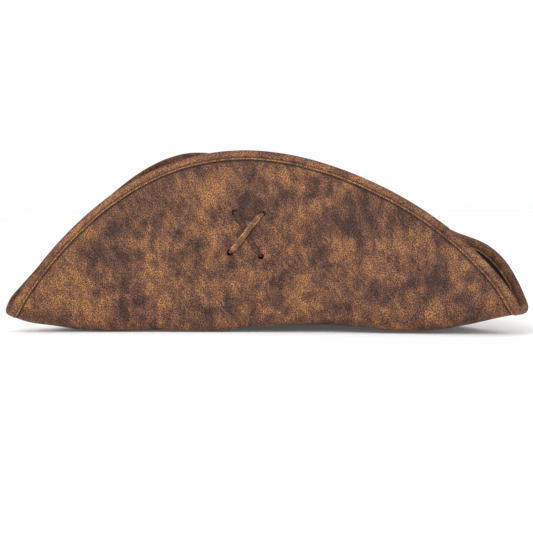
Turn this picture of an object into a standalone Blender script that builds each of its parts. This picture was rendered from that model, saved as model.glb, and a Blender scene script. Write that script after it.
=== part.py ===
"""Three-cornered pirate hat of faux suede.

A stiffened round brim is turned up along three folds, one at each side and one at the back. Its edge is
bound over a wire, and a flat lace crosses in an X through each side flap into the crown. +Z is up, the
wearer looks along -Y, and the wearer's left is +X.
"""

import bpy
import bmesh
import numpy as np
from math import cos, pi, radians, sin
from mathutils import Matrix, Vector

# The brim as it is cut flat: radius of its bound edge at each angle from the front, in degrees, and a
# shallow dip near each end of the back flap.
EDGE_RADII = {0.0: 0.2459, 30.5: 0.2520, 61.0: 0.2486, 95.8: 0.2417, 130.6: 0.2423, 180.0: 0.2150}
EDGE_DIP = {"angle": 156.0, "span": 11.0, "depth": 0.0073}

# The folds: direction from the head's centre, distance to the fold, how the fold line bows outwards
# (1/m), how far the flap turns up (degrees), how much further it leans in at a distance of LEAN_PLACE
# before and after its middle, going round counter-clockwise from above (degrees), how it curls over the
# crown (1/m), and how the fold's radius grows towards the corners (1/m).
SIDE_FOLD = {
    "angle": 61.0,
    "distance": 0.097,
    "bow": 0.2103,
    "bend": 98.5,
    "lean_before": 2.84,
    "lean_after": 9.04,
    "curl": -0.796,
    "easing": 0.224,
}
BACK_FOLD = {
    "angle": 180.0,
    "distance": 0.1242,
    "bow": 0.416,
    "bend": 77.7,
    "lean_before": 0.55,
    "lean_after": 0.55,
    "curl": 0.0,
    "easing": 0.0117,
}
FOLD_RADIUS = 0.006
LEAN_PLACE = 0.15
SAG_STARTS = 0.09
SAG_REACH = 1.1

# Waves of the flat part: channels that sag towards the corners, raised tips, and the fold's rise over the
# ear and drop at the temple.
BACK_CORNER_ANGLE = 130.6
CHANNEL_SAG = 0.0057
FRONT_TIP_RISE = 0.0033
BACK_TIP_RISE = 0.0139
EAR_LIFT, EAR_PLACE, EAR_SPAN = 0.005, 0.057, 0.030
TEMPLE_DROP, TEMPLE_PLACE, TEMPLE_SPAN = 0.0049, -0.044, 0.035

# Cloth thicknesses and the space kept between pieces that touch.
GAP = 0.00025
BINDING_GAP = 0.0006
CLOTH = 0.0005
STIFFENER = 0.0006
LINING_CLOTH = 0.0003
SWEATBAND_CLOTH = 0.0008
BINDING_WIDTH = 0.0085
EDGE_ROUND_OUTSIDE, EDGE_ROUND_INSIDE = 0.0014, 0.0016
EDGE_ROUND_SHARE_OUTSIDE, EDGE_ROUND_SHARE_INSIDE = 0.45, 0.5
WIRE_RADIUS = 0.0006
WIRE_END_GAP = 0.001
SLEEVE_INNER_RADIUS, SLEEVE_OUTER_RADIUS, SLEEVE_LENGTH = 0.00080, 0.00105, 0.016
THREAD_RADIUS = 0.00025
BINDING_STITCH_INSET = 0.0066

# Crown: outer oval at the brim, straight wall, then a rounded shoulder up to a flat top.
CROWN_HALF_WIDTH = 0.0850
CROWN_HALF_LENGTH = 0.1020
CROWN_WALL_HEIGHT = 0.065
CROWN_WALL_LEAN = 0.0034
SHOULDER_INSET = 0.045
SHOULDER_RISE = 0.042
CROWN_SEAM_GAP = 0.0003
CROWN_TIP_SEAM_SHARE, TIP_STIFFENER_SEAM_SHARE, TIP_LINING_SEAM_SHARE = 0.012, 0.030, 0.020
SWEATBAND_HEIGHT = 0.031
SWEATBAND_BEND_HEIGHT = 0.010
SWEATBAND_JOINT_GAP = 0.0006
SWEATBAND_THREAD_HEIGHT = 0.003
SWEATBAND_THREAD_CLEARANCE = 0.0003
LACE_ROOM = 0.0038
LACE_ROOM_STARTS, LACE_ROOM_GROWS = 0.003, 0.010

# Laces: a flat strip that crosses in an X. Corners as (along the fold, up the flap from the fold).
LACE_WIDTH, LACE_THICKNESS = 0.0050, 0.0010
LACE_NECK_WIDTH, LACE_NECK_THICKNESS = 0.0026, 0.0012
LACE_HOLE_RADIUS = 0.0021
LACE_CENTRE = (-0.0141, 0.0807)
LACE_LOW_FRONT, LACE_HIGH_BACK = (-0.0143, -0.0156), (0.0133, 0.0167)
LACE_HIGH_FRONT, LACE_LOW_BACK = (-0.0112, 0.0183), (0.0123, -0.0195)
LACE_TAIL = 0.011
LACE_INSIDE_CLEARANCE = 0.0016
LACE_SURFACE_CLEARANCE = 0.0001
LACE_ENTRY_STOPS = [0.0004, 0.0012, 0.0028, 0.0055]
LACE_ENTRY_SINK = 0.00025
LACE_EVEN_STARTS = 0.0085
LACE_CROSSING_STARTS, LACE_CROSSING_RISE = 0.006, 0.008
LACE_PASSAGE_OUTER, LACE_PASSAGE_INNER = 0.0002, 0.0011
LACE_CUTTER_OUTSIDE, LACE_CUTTER_INSIDE = 0.004, 0.0016
CROWN_SEARCH_START, CROWN_SEARCH_END, CROWN_SEARCH_STEP = 0.002, 0.040, 0.0001

# Mesh fineness.
BRIM_COLUMNS_PER_SIDE = 29
BRIM_ROWS = 7
CROWN_COLUMNS = 36

WIRE_INSET = CLOTH + GAP + SLEEVE_OUTER_RADIUS
CLOTH_EDGE_INSET = WIRE_INSET + SLEEVE_OUTER_RADIUS + GAP
HALF_CORE = STIFFENER / 2
CLOTH_INNER_FACE = HALF_CORE + GAP
CLOTH_OUTER_FACE = CLOTH_INNER_FACE + CLOTH
BINDING_INNER_FACE = CLOTH_OUTER_FACE + BINDING_GAP
BINDING_OUTER_FACE = BINDING_INNER_FACE + CLOTH
BETWEEN_EDGE_ROWS = (BINDING_STITCH_INSET + CLOTH_EDGE_INSET) / 2
EDGE_ROWS = np.array([BINDING_STITCH_INSET, BETWEEN_EDGE_ROWS, CLOTH_EDGE_INSET])
CROWN_BASE = CLOTH_OUTER_FACE + GAP
LINING_INSET = CLOTH + GAP + STIFFENER + GAP
SWEATBAND_INSET = LINING_INSET + LINING_CLOTH + GAP
SIDE_SHARES = np.array([0.0, 0.35, 0.7, 1.0, 1.17, 1.34, 1.51, 1.68])
LINING_SHARES = np.array([0.0, 0.25, 0.51, 0.70, 1.0, 1.2, 1.4, 1.6])


# --- The brim's surface, as a formula ---------------------------------------------------------------------


def edge_series():
    """Cosine terms that carry the brim's outline through its driving radii."""
    angles = np.radians(list(EDGE_RADII))
    terms = np.stack([np.cos(n * angles) for n in range(len(angles))], 1)
    return np.linalg.solve(terms, list(EDGE_RADII.values()))


EDGE_SERIES = edge_series()


def edge_radius(angle):
    from_dip = (np.degrees(np.abs(angle)) - EDGE_DIP["angle"]) / EDGE_DIP["span"]
    outline = sum(term * np.cos(order * angle) for order, term in enumerate(EDGE_SERIES))
    return outline - EDGE_DIP["depth"] * np.exp(-(from_dip**2))


def turn_up(points, flat_x, flat_y, fold, side):
    """Rolls the part beyond one fold line round the fold's radius and stands it up."""
    angle = radians(fold["angle"]) * side
    outward = (sin(angle), -cos(angle))
    along = flat_x * cos(angle) + flat_y * sin(angle)
    past = flat_x * outward[0] + flat_y * outward[1] - fold["distance"] - fold["bow"] * along**2
    before = np.maximum(-along, 0) / LEAN_PLACE
    after = np.maximum(along, 0) / LEAN_PLACE
    lean = fold["lean_before"] * before**2 + fold["lean_after"] * after**2
    bend = np.radians(fold["bend"] + lean)
    radius = FOLD_RADIUS + fold["easing"] * along**2
    past = np.maximum(past, 0.0)
    straight = np.maximum(past - radius * bend, 0.0)
    turned = np.minimum(past / radius, bend)
    reach = radius * np.sin(turned) + straight * np.cos(bend) + fold["curl"] * straight**2
    rise = radius * (1 - np.cos(turned)) + straight * np.sin(bend)
    points[..., 0] += (reach - past) * outward[0]
    points[..., 1] += (reach - past) * outward[1]
    points[..., 2] += rise


def bump(value, centre, below, above):
    spread = np.where(value < centre, below, above)
    return np.exp(-(((value - centre) / spread) ** 2))


def side_waves(flat_x, flat_y):
    """The side fold rises over the ear and drops at the temple."""
    angle = radians(SIDE_FOLD["angle"])
    mirrored = np.abs(flat_x)
    along = mirrored * cos(angle) + flat_y * sin(angle)
    past = mirrored * sin(angle) - flat_y * cos(angle) - SIDE_FOLD["distance"]
    near_fold = bump(past, 0.006, 0.008, 0.030)
    ear = EAR_LIFT * bump(along, EAR_PLACE, EAR_SPAN, EAR_SPAN)
    temple = TEMPLE_DROP * bump(along, TEMPLE_PLACE, TEMPLE_SPAN, TEMPLE_SPAN)
    return (ear - temple) * near_fold


def channel_waves(flat_x, flat_y):
    """The channels between the flaps sag, and their tips rise."""
    angle = np.abs(np.arctan2(flat_x, -flat_y))
    corner = radians(BACK_CORNER_ANGLE)
    ahead = np.cos(pi * angle / corner) ** 2
    behind = np.sin(pi / 2 * (pi - angle) / (pi - corner)) ** 2
    weight = np.where(angle < corner, ahead, behind)
    rise = np.where(angle < corner / 2, FRONT_TIP_RISE, BACK_TIP_RISE)
    radius = np.hypot(flat_x, flat_y)
    out = np.clip((radius - SAG_STARTS) / (edge_radius(angle) - SAG_STARTS), 0, 1)
    sag = CHANNEL_SAG * np.sin(pi * np.clip(out * SAG_REACH, 0, 1)) ** 2
    return weight * (rise * out**3 - sag)


def brim_middle(angle, radius):
    """The brim's middle surface over a flat polar place."""
    angle, radius = np.broadcast_arrays(np.asarray(angle, float), np.asarray(radius, float))
    flat_x, flat_y = radius * np.sin(angle), -radius * np.cos(angle)
    points = np.stack([flat_x, flat_y, np.zeros_like(flat_x)], -1)
    for fold, side in ((SIDE_FOLD, 1), (SIDE_FOLD, -1), (BACK_FOLD, 1)):
        turn_up(points, flat_x, flat_y, fold, side)
    points[..., 2] += side_waves(flat_x, flat_y) + channel_waves(flat_x, flat_y)
    return points


def brim_point(angle, radius, lift=0.0):
    """A point off the middle surface: lift is positive towards the crown and negative towards the outside."""
    step = 1e-4
    outward = brim_middle(angle, radius + step) - brim_middle(angle, radius - step)
    around = brim_middle(angle + step, radius) - brim_middle(angle - step, radius)
    normal = np.cross(outward, around)
    normal /= np.linalg.norm(normal, axis=-1, keepdims=True)
    return brim_middle(angle, radius) + normal * np.asarray(lift)[..., None]


def flap_place(along, up):
    """Polar place on the left side flap, from the distances along and past its fold."""
    angle = radians(SIDE_FOLD["angle"])
    out = SIDE_FOLD["distance"] + SIDE_FOLD["bow"] * along**2 + up
    flat_x = out * sin(angle) + along * cos(angle)
    flat_y = -out * cos(angle) + along * sin(angle)
    return np.arctan2(flat_x, -flat_y), np.hypot(flat_x, flat_y)


def crown_radius(angle, inset=0.0):
    """Radius of the crown's oval, drawn in from its outer face."""
    width, length = CROWN_HALF_WIDTH - inset, CROWN_HALF_LENGTH - inset
    return width * length / np.hypot(width * np.cos(angle), length * np.sin(angle))


def evenly_bent(path, count, length_step, turn_step):
    """Fractions along a path that share out its length and its bending."""
    steps = np.diff(path, axis=0)
    lengths = np.linalg.norm(steps, axis=1)
    ways = steps / lengths[:, None]
    turns = np.linalg.norm(np.diff(ways, axis=0), axis=1)
    turns = np.concatenate([turns[:1], turns])
    load = np.concatenate([[0], np.cumsum(lengths / length_step + turns / turn_step)])
    return np.interp(np.linspace(0, load[-1], count), load, np.linspace(0, 1, len(load)))


def brim_angles():
    """Column angles, closer together where the edge and the folds bend."""
    half = np.linspace(0, pi, 721)
    count = BRIM_COLUMNS_PER_SIDE + 1
    load = np.zeros(count)
    for share in (0.5, 0.9, 1.0):
        path = brim_middle(half, 0.1 + share * (edge_radius(half) - 0.1))
        load = load + evenly_bent(path, count, 0.020, 0.30) / 3
    right = load * pi
    return np.concatenate([right, -right[-2:0:-1]])


BRIM_ANGLES = brim_angles()


def brim_rows(angle):
    """Row radii from the head opening to the cloth's edge, closer together round the fold."""
    inner = crown_radius(angle, CLOTH)
    outer = edge_radius(angle) - BINDING_WIDTH
    radii = np.linspace(inner, outer, 400)
    shares = evenly_bent(brim_middle(angle, radii), BRIM_ROWS, 0.030, 0.50)
    return np.append(inner + shares * (outer - inner), edge_radius(angle) - EDGE_ROWS)


def resting_offset():
    """How far everything moves so that the hat rests on z = 0 with its outline centred on the origin."""
    angles = np.linspace(-pi, pi, 1441)[:, None]
    inner = crown_radius(angles)
    shares = np.linspace(0, 1, 121)[None, :]
    radii = inner + shares * (edge_radius(angles) - inner)
    middle = brim_middle(np.broadcast_to(angles, radii.shape), radii)
    rim = brim_middle(angles, edge_radius(angles))
    face_radius = edge_radius(angles) - EDGE_ROUND_OUTSIDE
    rim_face = brim_point(angles, face_radius, np.full_like(angles, -BINDING_OUTER_FACE))
    y_centre = (rim[..., 1].min() + rim_face[..., 1].max()) / 2
    return np.array([0.0, -y_centre, CLOTH_OUTER_FACE - middle[..., 2].min()])


OFFSET = resting_offset()


# --- Making objects ---------------------------------------------------------------------------------------


def clear_scene():
    for old in list(bpy.data.objects):
        bpy.data.objects.remove(old)


def new_collection(name):
    collection = bpy.data.collections.new(name)
    bpy.context.scene.collection.children.link(collection)
    return collection


def new_material(name, colour, roughness, metallic=0.0):
    material = bpy.data.materials.new(name)
    material.use_nodes = True
    shader = material.node_tree.nodes["Principled BSDF"]
    shader.inputs["Base Color"].default_value = (*colour, 1.0)
    shader.inputs["Roughness"].default_value = roughness
    shader.inputs["Metallic"].default_value = metallic
    return material


def new_object(name, mesh_or_bmesh, material, collection, smooth=50.0):
    if isinstance(mesh_or_bmesh, bmesh.types.BMesh):
        mesh = bpy.data.meshes.new(name)
        mesh_or_bmesh.to_mesh(mesh)
        mesh_or_bmesh.free()
    else:
        mesh = mesh_or_bmesh
    mesh.shade_smooth()
    mesh.set_sharp_from_angle(angle=radians(smooth))
    made = bpy.data.objects.new(name, mesh)
    made.location = OFFSET
    if material:
        made.data.materials.append(material)
    collection.objects.link(made)
    return made


def shaped_grid(points, closed=()):
    """A sheet whose points follow an array (count, count, 3), joined up along the closed directions.

    Its faces look along (first direction) x (second direction)."""
    for axis in closed:
        points = np.concatenate([points, points.take([0], axis)], axis)
    grid = bmesh.new()
    bmesh.ops.create_grid(grid, x_segments=points.shape[0] - 1, y_segments=points.shape[1] - 1, size=1)
    places = points.transpose(1, 0, 2).reshape(-1, 3)
    for vertex, place in zip(grid.verts, places):
        vertex.co = place
    bmesh.ops.remove_doubles(grid, verts=grid.verts, dist=1e-7)
    bmesh.ops.triangulate(grid, faces=grid.faces)
    return grid


def capped(grid):
    """Closes a swept tube at both ends."""
    ends = [edge for edge in grid.edges if edge.is_boundary]
    bmesh.ops.holes_fill(grid, edges=ends, sides=0)
    bmesh.ops.triangulate(grid, faces=grid.faces)
    bmesh.ops.recalc_face_normals(grid, faces=grid.faces)
    return grid


def thicken(made, thickness, offset):
    """Solidify whose shell runs from offset to offset + thickness along the surface's normals."""
    shell = made.modifiers.new("thickness", "SOLIDIFY")
    shell.thickness = thickness
    shell.offset = 2 * (offset + thickness / 2) / thickness
    shell.use_even_offset = True
    shell.use_quality_normals = True
    return shell


def cut(made, cutter):
    hole = made.modifiers.new("lace holes", "BOOLEAN")
    hole.operation = "DIFFERENCE"
    hole.solver = "EXACT"
    hole.object = cutter


# --- Brim -------------------------------------------------------------------------------------------------


def brim_sheet():
    rows = np.stack([brim_rows(angle) for angle in BRIM_ANGLES], 1)
    return shaped_grid(brim_middle(BRIM_ANGLES[None, :], rows), closed=(1,))


def brim_layer(name, material, thickness, offset, collection):
    layer = new_object(name, brim_sheet(), material, collection)
    thicken(layer, thickness, offset)
    return layer


def binding_section():
    """Outline of the folded strip as (distance in from the edge, lift), outer face then inner face."""
    out, inner = BINDING_OUTER_FACE, BINDING_INNER_FACE
    leg = [BINDING_WIDTH, *EDGE_ROWS]
    turn_out, turn_in = EDGE_ROUND_SHARE_OUTSIDE * out, EDGE_ROUND_SHARE_INSIDE * inner
    round_out = [(EDGE_ROUND_OUTSIDE, out), (0.0, turn_out), (0.0, -turn_out), (EDGE_ROUND_OUTSIDE, -out)]
    round_in = [(EDGE_ROUND_INSIDE, -inner), (CLOTH, -turn_in), (CLOTH, turn_in), (EDGE_ROUND_INSIDE, inner)]
    outer_face = [(inset, out) for inset in leg] + round_out + [(inset, -out) for inset in leg[::-1]]
    inner_face = [(inset, -inner) for inset in leg] + round_in + [(inset, inner) for inset in leg[::-1]]
    return np.array(outer_face + inner_face)


def brim_binding(material, collection):
    section = binding_section()
    angles = BRIM_ANGLES[None, :]
    points = brim_point(angles, edge_radius(angles) - section[:, :1], section[:, 1:] + 0 * angles)
    grid = shaped_grid(points, closed=(0, 1))
    bmesh.ops.recalc_face_normals(grid, faces=grid.faces)
    return new_object("brim_binding", grid, material, collection)


def round_curve(name, points, radius, cyclic, material, collection):
    curve = bpy.data.curves.new(name, "CURVE")
    curve.dimensions = "3D"
    curve.bevel_depth = radius
    curve.bevel_resolution = 0
    curve.use_fill_caps = not cyclic
    spline = curve.splines.new("POLY")
    spline.points.add(len(points) - 1)
    for place, point in zip(spline.points, points):
        place.co = (*point, 1.0)
    spline.use_cyclic_u = cyclic
    curve.materials.append(material)
    made = bpy.data.objects.new(name, curve)
    made.location = OFFSET
    collection.objects.link(made)
    return made


def wire_points():
    """The wire's route round the edge, open at the back where the sleeve joins its ends."""
    angles = np.sort(np.where(BRIM_ANGLES > pi, BRIM_ANGLES - 2 * pi, BRIM_ANGLES))
    angles = angles[np.abs(angles) < pi - 1e-6]
    middle = brim_point(np.array([pi]), edge_radius(np.array([pi])) - WIRE_INSET)[0]
    points = brim_point(angles, edge_radius(angles) - WIRE_INSET)
    ends = []
    for neighbour in (points[0], points[-1]):
        way = (neighbour - middle) / np.linalg.norm(neighbour - middle)
        ends.append((middle + way * WIRE_END_GAP / 2, way))
    return np.concatenate([[ends[0][0]], points, [ends[1][0]]]), middle, ends[0][1], ends[1][1]


def brim_wire(material, collection):
    points = wire_points()[0]
    return round_curve("brim_wire", points, WIRE_RADIUS, False, material, collection)


def wire_joiner(material, collection):
    """A short sleeve crimped over the wire's two ends."""
    _, middle, one_way, other_way = wire_points()
    half = SLEEVE_LENGTH / 2
    stations = [middle + one_way * half, middle, middle + other_way * half]
    turns = np.linspace(0, 2 * pi, 12, endpoint=False)
    up = np.array([0.0, 0.0, 1.0])
    along = other_way - one_way
    across = np.cross(up, along / np.linalg.norm(along))
    radius = SLEEVE_INNER_RADIUS
    ring = radius * (np.cos(turns)[:, None] * across + np.sin(turns)[:, None] * up)
    points = np.stack([ring + station for station in stations], 1)
    sleeve = new_object("wire_joiner", shaped_grid(points, closed=(0,)), material, collection)
    thicken(sleeve, SLEEVE_OUTER_RADIUS - SLEEVE_INNER_RADIUS, 0.0)
    return sleeve


def binding_thread(name, side, material, collection):
    lift = side * (BINDING_OUTER_FACE + THREAD_RADIUS + GAP)
    radii = edge_radius(BRIM_ANGLES) - BINDING_STITCH_INSET
    points = brim_point(BRIM_ANGLES, radii, lift + 0 * radii)
    return round_curve(name, points, THREAD_RADIUS, True, material, collection)


# --- Crown ------------------------------------------------------------------------------------------------


def crown_height(share):
    """Height and inset of the crown's outline: wall for share 0 to 1, shoulder for share 1 to 2."""
    wall, turn = np.minimum(share, 1.0), np.maximum(share - 1.0, 0.0) * pi / 2
    height = CROWN_BASE + wall * (CROWN_WALL_HEIGHT - CROWN_BASE) + SHOULDER_RISE * np.sin(turn)
    inset = CROWN_WALL_LEAN * wall + SHOULDER_INSET * (1 - np.cos(turn))
    return height, inset


def crown_point(angle, share, inset=0.0):
    height, drawn_in = crown_height(share)
    radius = crown_radius(angle, drawn_in + inset)
    return np.stack([radius * np.sin(angle), -radius * np.cos(angle), height + 0 * radius], -1)


def crown_shell(name, material, angles, shares, thickness, offset, collection, closed):
    points = crown_point(angles[:, None], shares[None, :])
    shell = new_object(name, shaped_grid(points, closed=(0,) if closed else ()), material, collection)
    thicken(shell, thickness, offset)
    return shell


def crown_side(name, side, material, collection):
    seam = CROWN_SEAM_GAP / (2 * CROWN_HALF_LENGTH)
    angles = side * np.linspace(seam, pi - seam, CROWN_COLUMNS // 2 + 1)
    angles = angles if side > 0 else angles[::-1]
    return crown_shell(name, material, angles, SIDE_SHARES, CLOTH, -CLOTH, collection, False)


def crown_top(name, material, thickness, offset, first_share, collection):
    """A flat oval top with its rounded border."""
    angles = np.linspace(0, 2 * pi, CROWN_COLUMNS, endpoint=False)
    shares = np.linspace(first_share, 2.0, 4)
    grid = shaped_grid(crown_point(angles[:, None], shares[None, :]), closed=(0,))
    top = max(vertex.co.z for vertex in grid.verts)
    rim = [edge for edge in grid.edges if edge.is_boundary and edge.verts[0].co.z > top - 1e-6]
    bmesh.ops.edgeloop_fill(grid, edges=rim)
    bmesh.ops.recalc_face_normals(grid, faces=grid.faces)
    made = new_object(name, grid, material, collection)
    thicken(made, thickness, offset)
    return made


def smooth_step(value):
    value = np.clip(value, 0.0, 1.0)
    return value * value * (3 - 2 * value)


def lining_point(angle, share):
    """The lining lies on the wall at the sweatband and hangs free of it above, where the laces pass."""
    height, _ = crown_height(share)
    free = smooth_step((height - SWEATBAND_HEIGHT - LACE_ROOM_STARTS) / LACE_ROOM_GROWS)
    point = crown_point(angle, share, LINING_INSET + LACE_ROOM * free)
    point[..., 2] -= (LINING_INSET + LACE_ROOM) * np.maximum(share - 1.0, 0.0)
    return point


def lining_side(material, collection):
    angles = np.linspace(0, 2 * pi, CROWN_COLUMNS, endpoint=False)
    points = lining_point(angles[:, None], LINING_SHARES[None, :])
    made = new_object("lining_side", shaped_grid(points, closed=(0,)), material, collection)
    thicken(made, LINING_CLOTH, -LINING_CLOTH)
    return made


def lining_tip(material, collection):
    angles = np.linspace(0, 2 * pi, CROWN_COLUMNS, endpoint=False)
    shares = np.linspace(LINING_SHARES[-1] + TIP_LINING_SEAM_SHARE, 2.0, 3)
    grid = shaped_grid(lining_point(angles[:, None], shares[None, :]), closed=(0,))
    top = max(vertex.co.z for vertex in grid.verts)
    rim = [edge for edge in grid.edges if edge.is_boundary and edge.verts[0].co.z > top - 1e-6]
    bmesh.ops.edgeloop_fill(grid, edges=rim)
    bmesh.ops.recalc_face_normals(grid, faces=grid.faces)
    made = new_object("lining_tip", grid, material, collection)
    thicken(made, LINING_CLOTH, -LINING_CLOTH)
    return made


def sweatband(material, collection):
    """A strip round the inside whose ends meet at the back."""
    joint = SWEATBAND_JOINT_GAP / (2 * CROWN_HALF_LENGTH)
    angles = np.linspace(-pi + joint, pi - joint, CROWN_COLUMNS + 1)
    heights = np.array([-CLOTH_OUTER_FACE, SWEATBAND_BEND_HEIGHT, SWEATBAND_HEIGHT])
    lean = CROWN_WALL_LEAN * np.maximum(heights, 0) / CROWN_WALL_HEIGHT
    radius = crown_radius(angles[:, None], SWEATBAND_INSET + lean[None, :])
    up = heights[None, :] + 0 * radius
    points = np.stack([radius * np.sin(angles[:, None]), -radius * np.cos(angles[:, None]), up], -1)
    made = new_object("sweatband", shaped_grid(points), material, collection)
    thicken(made, SWEATBAND_CLOTH, -SWEATBAND_CLOTH)
    return made


def sweatband_thread(material, collection):
    angles = np.linspace(-pi, pi, CROWN_COLUMNS, endpoint=False)
    inset = SWEATBAND_INSET + SWEATBAND_CLOTH + GAP + THREAD_RADIUS + SWEATBAND_THREAD_CLEARANCE
    radius = crown_radius(angles, inset)
    height = SWEATBAND_THREAD_HEIGHT + 0 * radius
    points = np.stack([radius * np.sin(angles), -radius * np.cos(angles), height], -1)
    return round_curve("sweatband_thread", points, THREAD_RADIUS, True, material, collection)


# --- Laces ------------------------------------------------------------------------------------------------


class Hole:
    """One lace hole: where its axis meets the flap, its way towards the crown, and its depth there."""

    def __init__(self, corner):
        along, up = LACE_CENTRE[0] + corner[0], LACE_CENTRE[1] + corner[1]
        self.place = np.array([along, up])
        angle, radius = flap_place(along, up)
        self.middle = brim_point(np.array([angle]), np.array([radius]), np.zeros(1))[0]
        inner = brim_point(np.array([angle]), np.array([radius]), np.full(1, CLOTH))[0]
        self.way = (inner - self.middle) / np.linalg.norm(inner - self.middle)
        self.depth = self.depth_to_crown() + LACE_INSIDE_CLEARANCE + LACE_THICKNESS / 2

    def depth_to_crown(self):
        """Distance along the axis to the crown stiffener's inner face."""
        inset = CLOTH + GAP + STIFFENER
        for depth in np.arange(CROWN_SEARCH_START, CROWN_SEARCH_END, CROWN_SEARCH_STEP):
            point = self.middle + self.way * depth
            wall = max(point[2] - CROWN_WALL_HEIGHT, 0.0) / SHOULDER_RISE
            lean = CROWN_WALL_LEAN * min(point[2] / CROWN_WALL_HEIGHT, 1.0)
            drawn_in = lean + SHOULDER_INSET * (1 - (1 - wall**2) ** 0.5)
            angle = np.arctan2(point[0], -point[1])
            if np.hypot(point[0], point[1]) < crown_radius(angle, drawn_in + inset):
                return depth
        return CROWN_SEARCH_END

    def inside(self):
        return self.middle + self.way * self.depth


def rotated(vector, axis, angle):
    """Rodrigues' rotation of a vector about a unit axis."""
    turned = vector * cos(angle) + np.cross(axis, vector) * sin(angle)
    return turned + axis * np.dot(axis, vector) * (1 - cos(angle))


def outside_run(start, end, over):
    """The strand on the flap's outside between two holes, as (point, width direction, openness)."""
    low = CLOTH_OUTER_FACE + GAP + LACE_THICKNESS / 2 + LACE_SURFACE_CLEARANCE
    high = low + (LACE_THICKNESS + GAP + LACE_SURFACE_CLEARANCE if over else 0.0)
    length = np.linalg.norm(end.place - start.place)
    middle = list(np.linspace(LACE_EVEN_STARTS, length - LACE_EVEN_STARTS, 7))
    stops = LACE_ENTRY_STOPS + middle + [length - stop for stop in reversed(LACE_ENTRY_STOPS)]
    run = []
    for stop in stops:
        share = stop / length
        place = start.place + (end.place - start.place) * share
        to_end = min(stop, length - stop)
        raised = smooth_step((to_end - LACE_CROSSING_STARTS) / LACE_CROSSING_RISE)
        sunk = LACE_ENTRY_SINK if to_end < LACE_ENTRY_STOPS[1] / 2 else 0.0
        lift = -(low + (high - low) * raised - sunk)
        angle, radius = flap_place(*place)
        point = brim_point(np.array([angle]), np.array([radius]), np.array([lift]))[0]
        run.append((point, smooth_step(to_end / LACE_ENTRY_STOPS[-1])))
    points = [point for point, _ in run]
    chord = points[-1] - points[0]
    across = np.cross(start.way, chord / np.linalg.norm(chord))
    return [(point, across / np.linalg.norm(across), openness) for point, openness in run]


def inside_run(start, end_point):
    """The strand on the crown's inside, straight from one hole to an end point."""
    begin = start.inside()
    chord = end_point - begin
    length = np.linalg.norm(chord)
    way = chord / length
    across = np.cross(start.way, way)
    across /= np.linalg.norm(across)
    run = []
    for stop in (*LACE_ENTRY_STOPS, length / 2):
        sunk = LACE_ENTRY_SINK if stop < LACE_ENTRY_STOPS[1] / 2 else 0.0
        point = begin + way * stop - start.way * sunk
        run.append((point, across, smooth_step(stop / LACE_ENTRY_STOPS[-1])))
    return run


def passage(hole, outer_across, inner_across):
    """The stretch through the hole, from the outside in, turning from one width direction to the other."""
    if np.dot(outer_across, inner_across) < 0:
        inner_across = -inner_across
    sideways = np.dot(np.cross(outer_across, inner_across), hole.way)
    turn = np.arctan2(sideways, np.dot(outer_across, inner_across))
    first, last = LACE_PASSAGE_OUTER - CLOTH_OUTER_FACE, hole.depth - LACE_PASSAGE_INNER
    stops = np.linspace(first, last, 6)
    stretch = []
    for stop in stops:
        share = (stop - first) / (last - first)
        across = rotated(outer_across, hole.way, turn * share)
        stretch.append((hole.middle + hole.way * stop, across, 0.0))
    return stretch


def lace_route():
    """One lace: tail, out at the low front hole, over to the high back one, inside to the high front one,
    out and under to the low back one, and its other tail."""
    low_front, high_back = Hole(LACE_LOW_FRONT), Hole(LACE_HIGH_BACK)
    high_front, low_back = Hole(LACE_HIGH_FRONT), Hole(LACE_LOW_BACK)
    down = np.array([0.0, 0.0, -LACE_TAIL])
    first_tail = inside_run(low_front, low_front.inside() + down)
    first_tail.append((low_front.inside() + down, first_tail[-1][1], 1.0))
    last_tail = inside_run(low_back, low_back.inside() + down)
    last_tail.append((low_back.inside() + down, last_tail[-1][1], 1.0))
    over = outside_run(low_front, high_back, True)
    under = outside_run(high_front, low_back, False)
    link_out = inside_run(high_back, high_front.inside())
    link_back = inside_run(high_front, high_back.inside())
    route = first_tail[::-1]
    route += passage(low_front, over[0][1], first_tail[0][1])[::-1]
    route += over
    route += passage(high_back, over[-1][1], link_out[0][1])
    route += link_out + link_back[-2::-1]
    route += passage(high_front, under[0][1], link_back[0][1])[::-1]
    route += under
    route += passage(low_back, under[-1][1], last_tail[0][1])
    return route + last_tail


def lace_grid(side):
    route = lace_route()
    points = np.array([point for point, _, _ in route])
    ways = np.gradient(points, axis=0)
    ways /= np.linalg.norm(ways, axis=1, keepdims=True)
    sections = []
    across_before = route[0][1]
    for (point, across, openness), way in zip(route, ways):
        across = across if np.dot(across, across_before) > 0 else -across
        across = across - way * np.dot(across, way)
        across /= np.linalg.norm(across)
        across_before = across
        through = np.cross(way, across)
        width = LACE_NECK_WIDTH + (LACE_WIDTH - LACE_NECK_WIDTH) * openness
        thickness = LACE_NECK_THICKNESS + (LACE_THICKNESS - LACE_NECK_THICKNESS) * openness
        corners = ((1, 1), (-1, 1), (-1, -1), (1, -1))
        sections.append([point + a * across * width / 2 + b * through * thickness / 2 for a, b in corners])
    sections = np.array(sections)
    sections[..., 0] *= side
    return capped(shaped_grid(sections, closed=(1,)))


def lace(name, side, material, collection):
    return new_object(name, lace_grid(side), material, collection)


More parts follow.
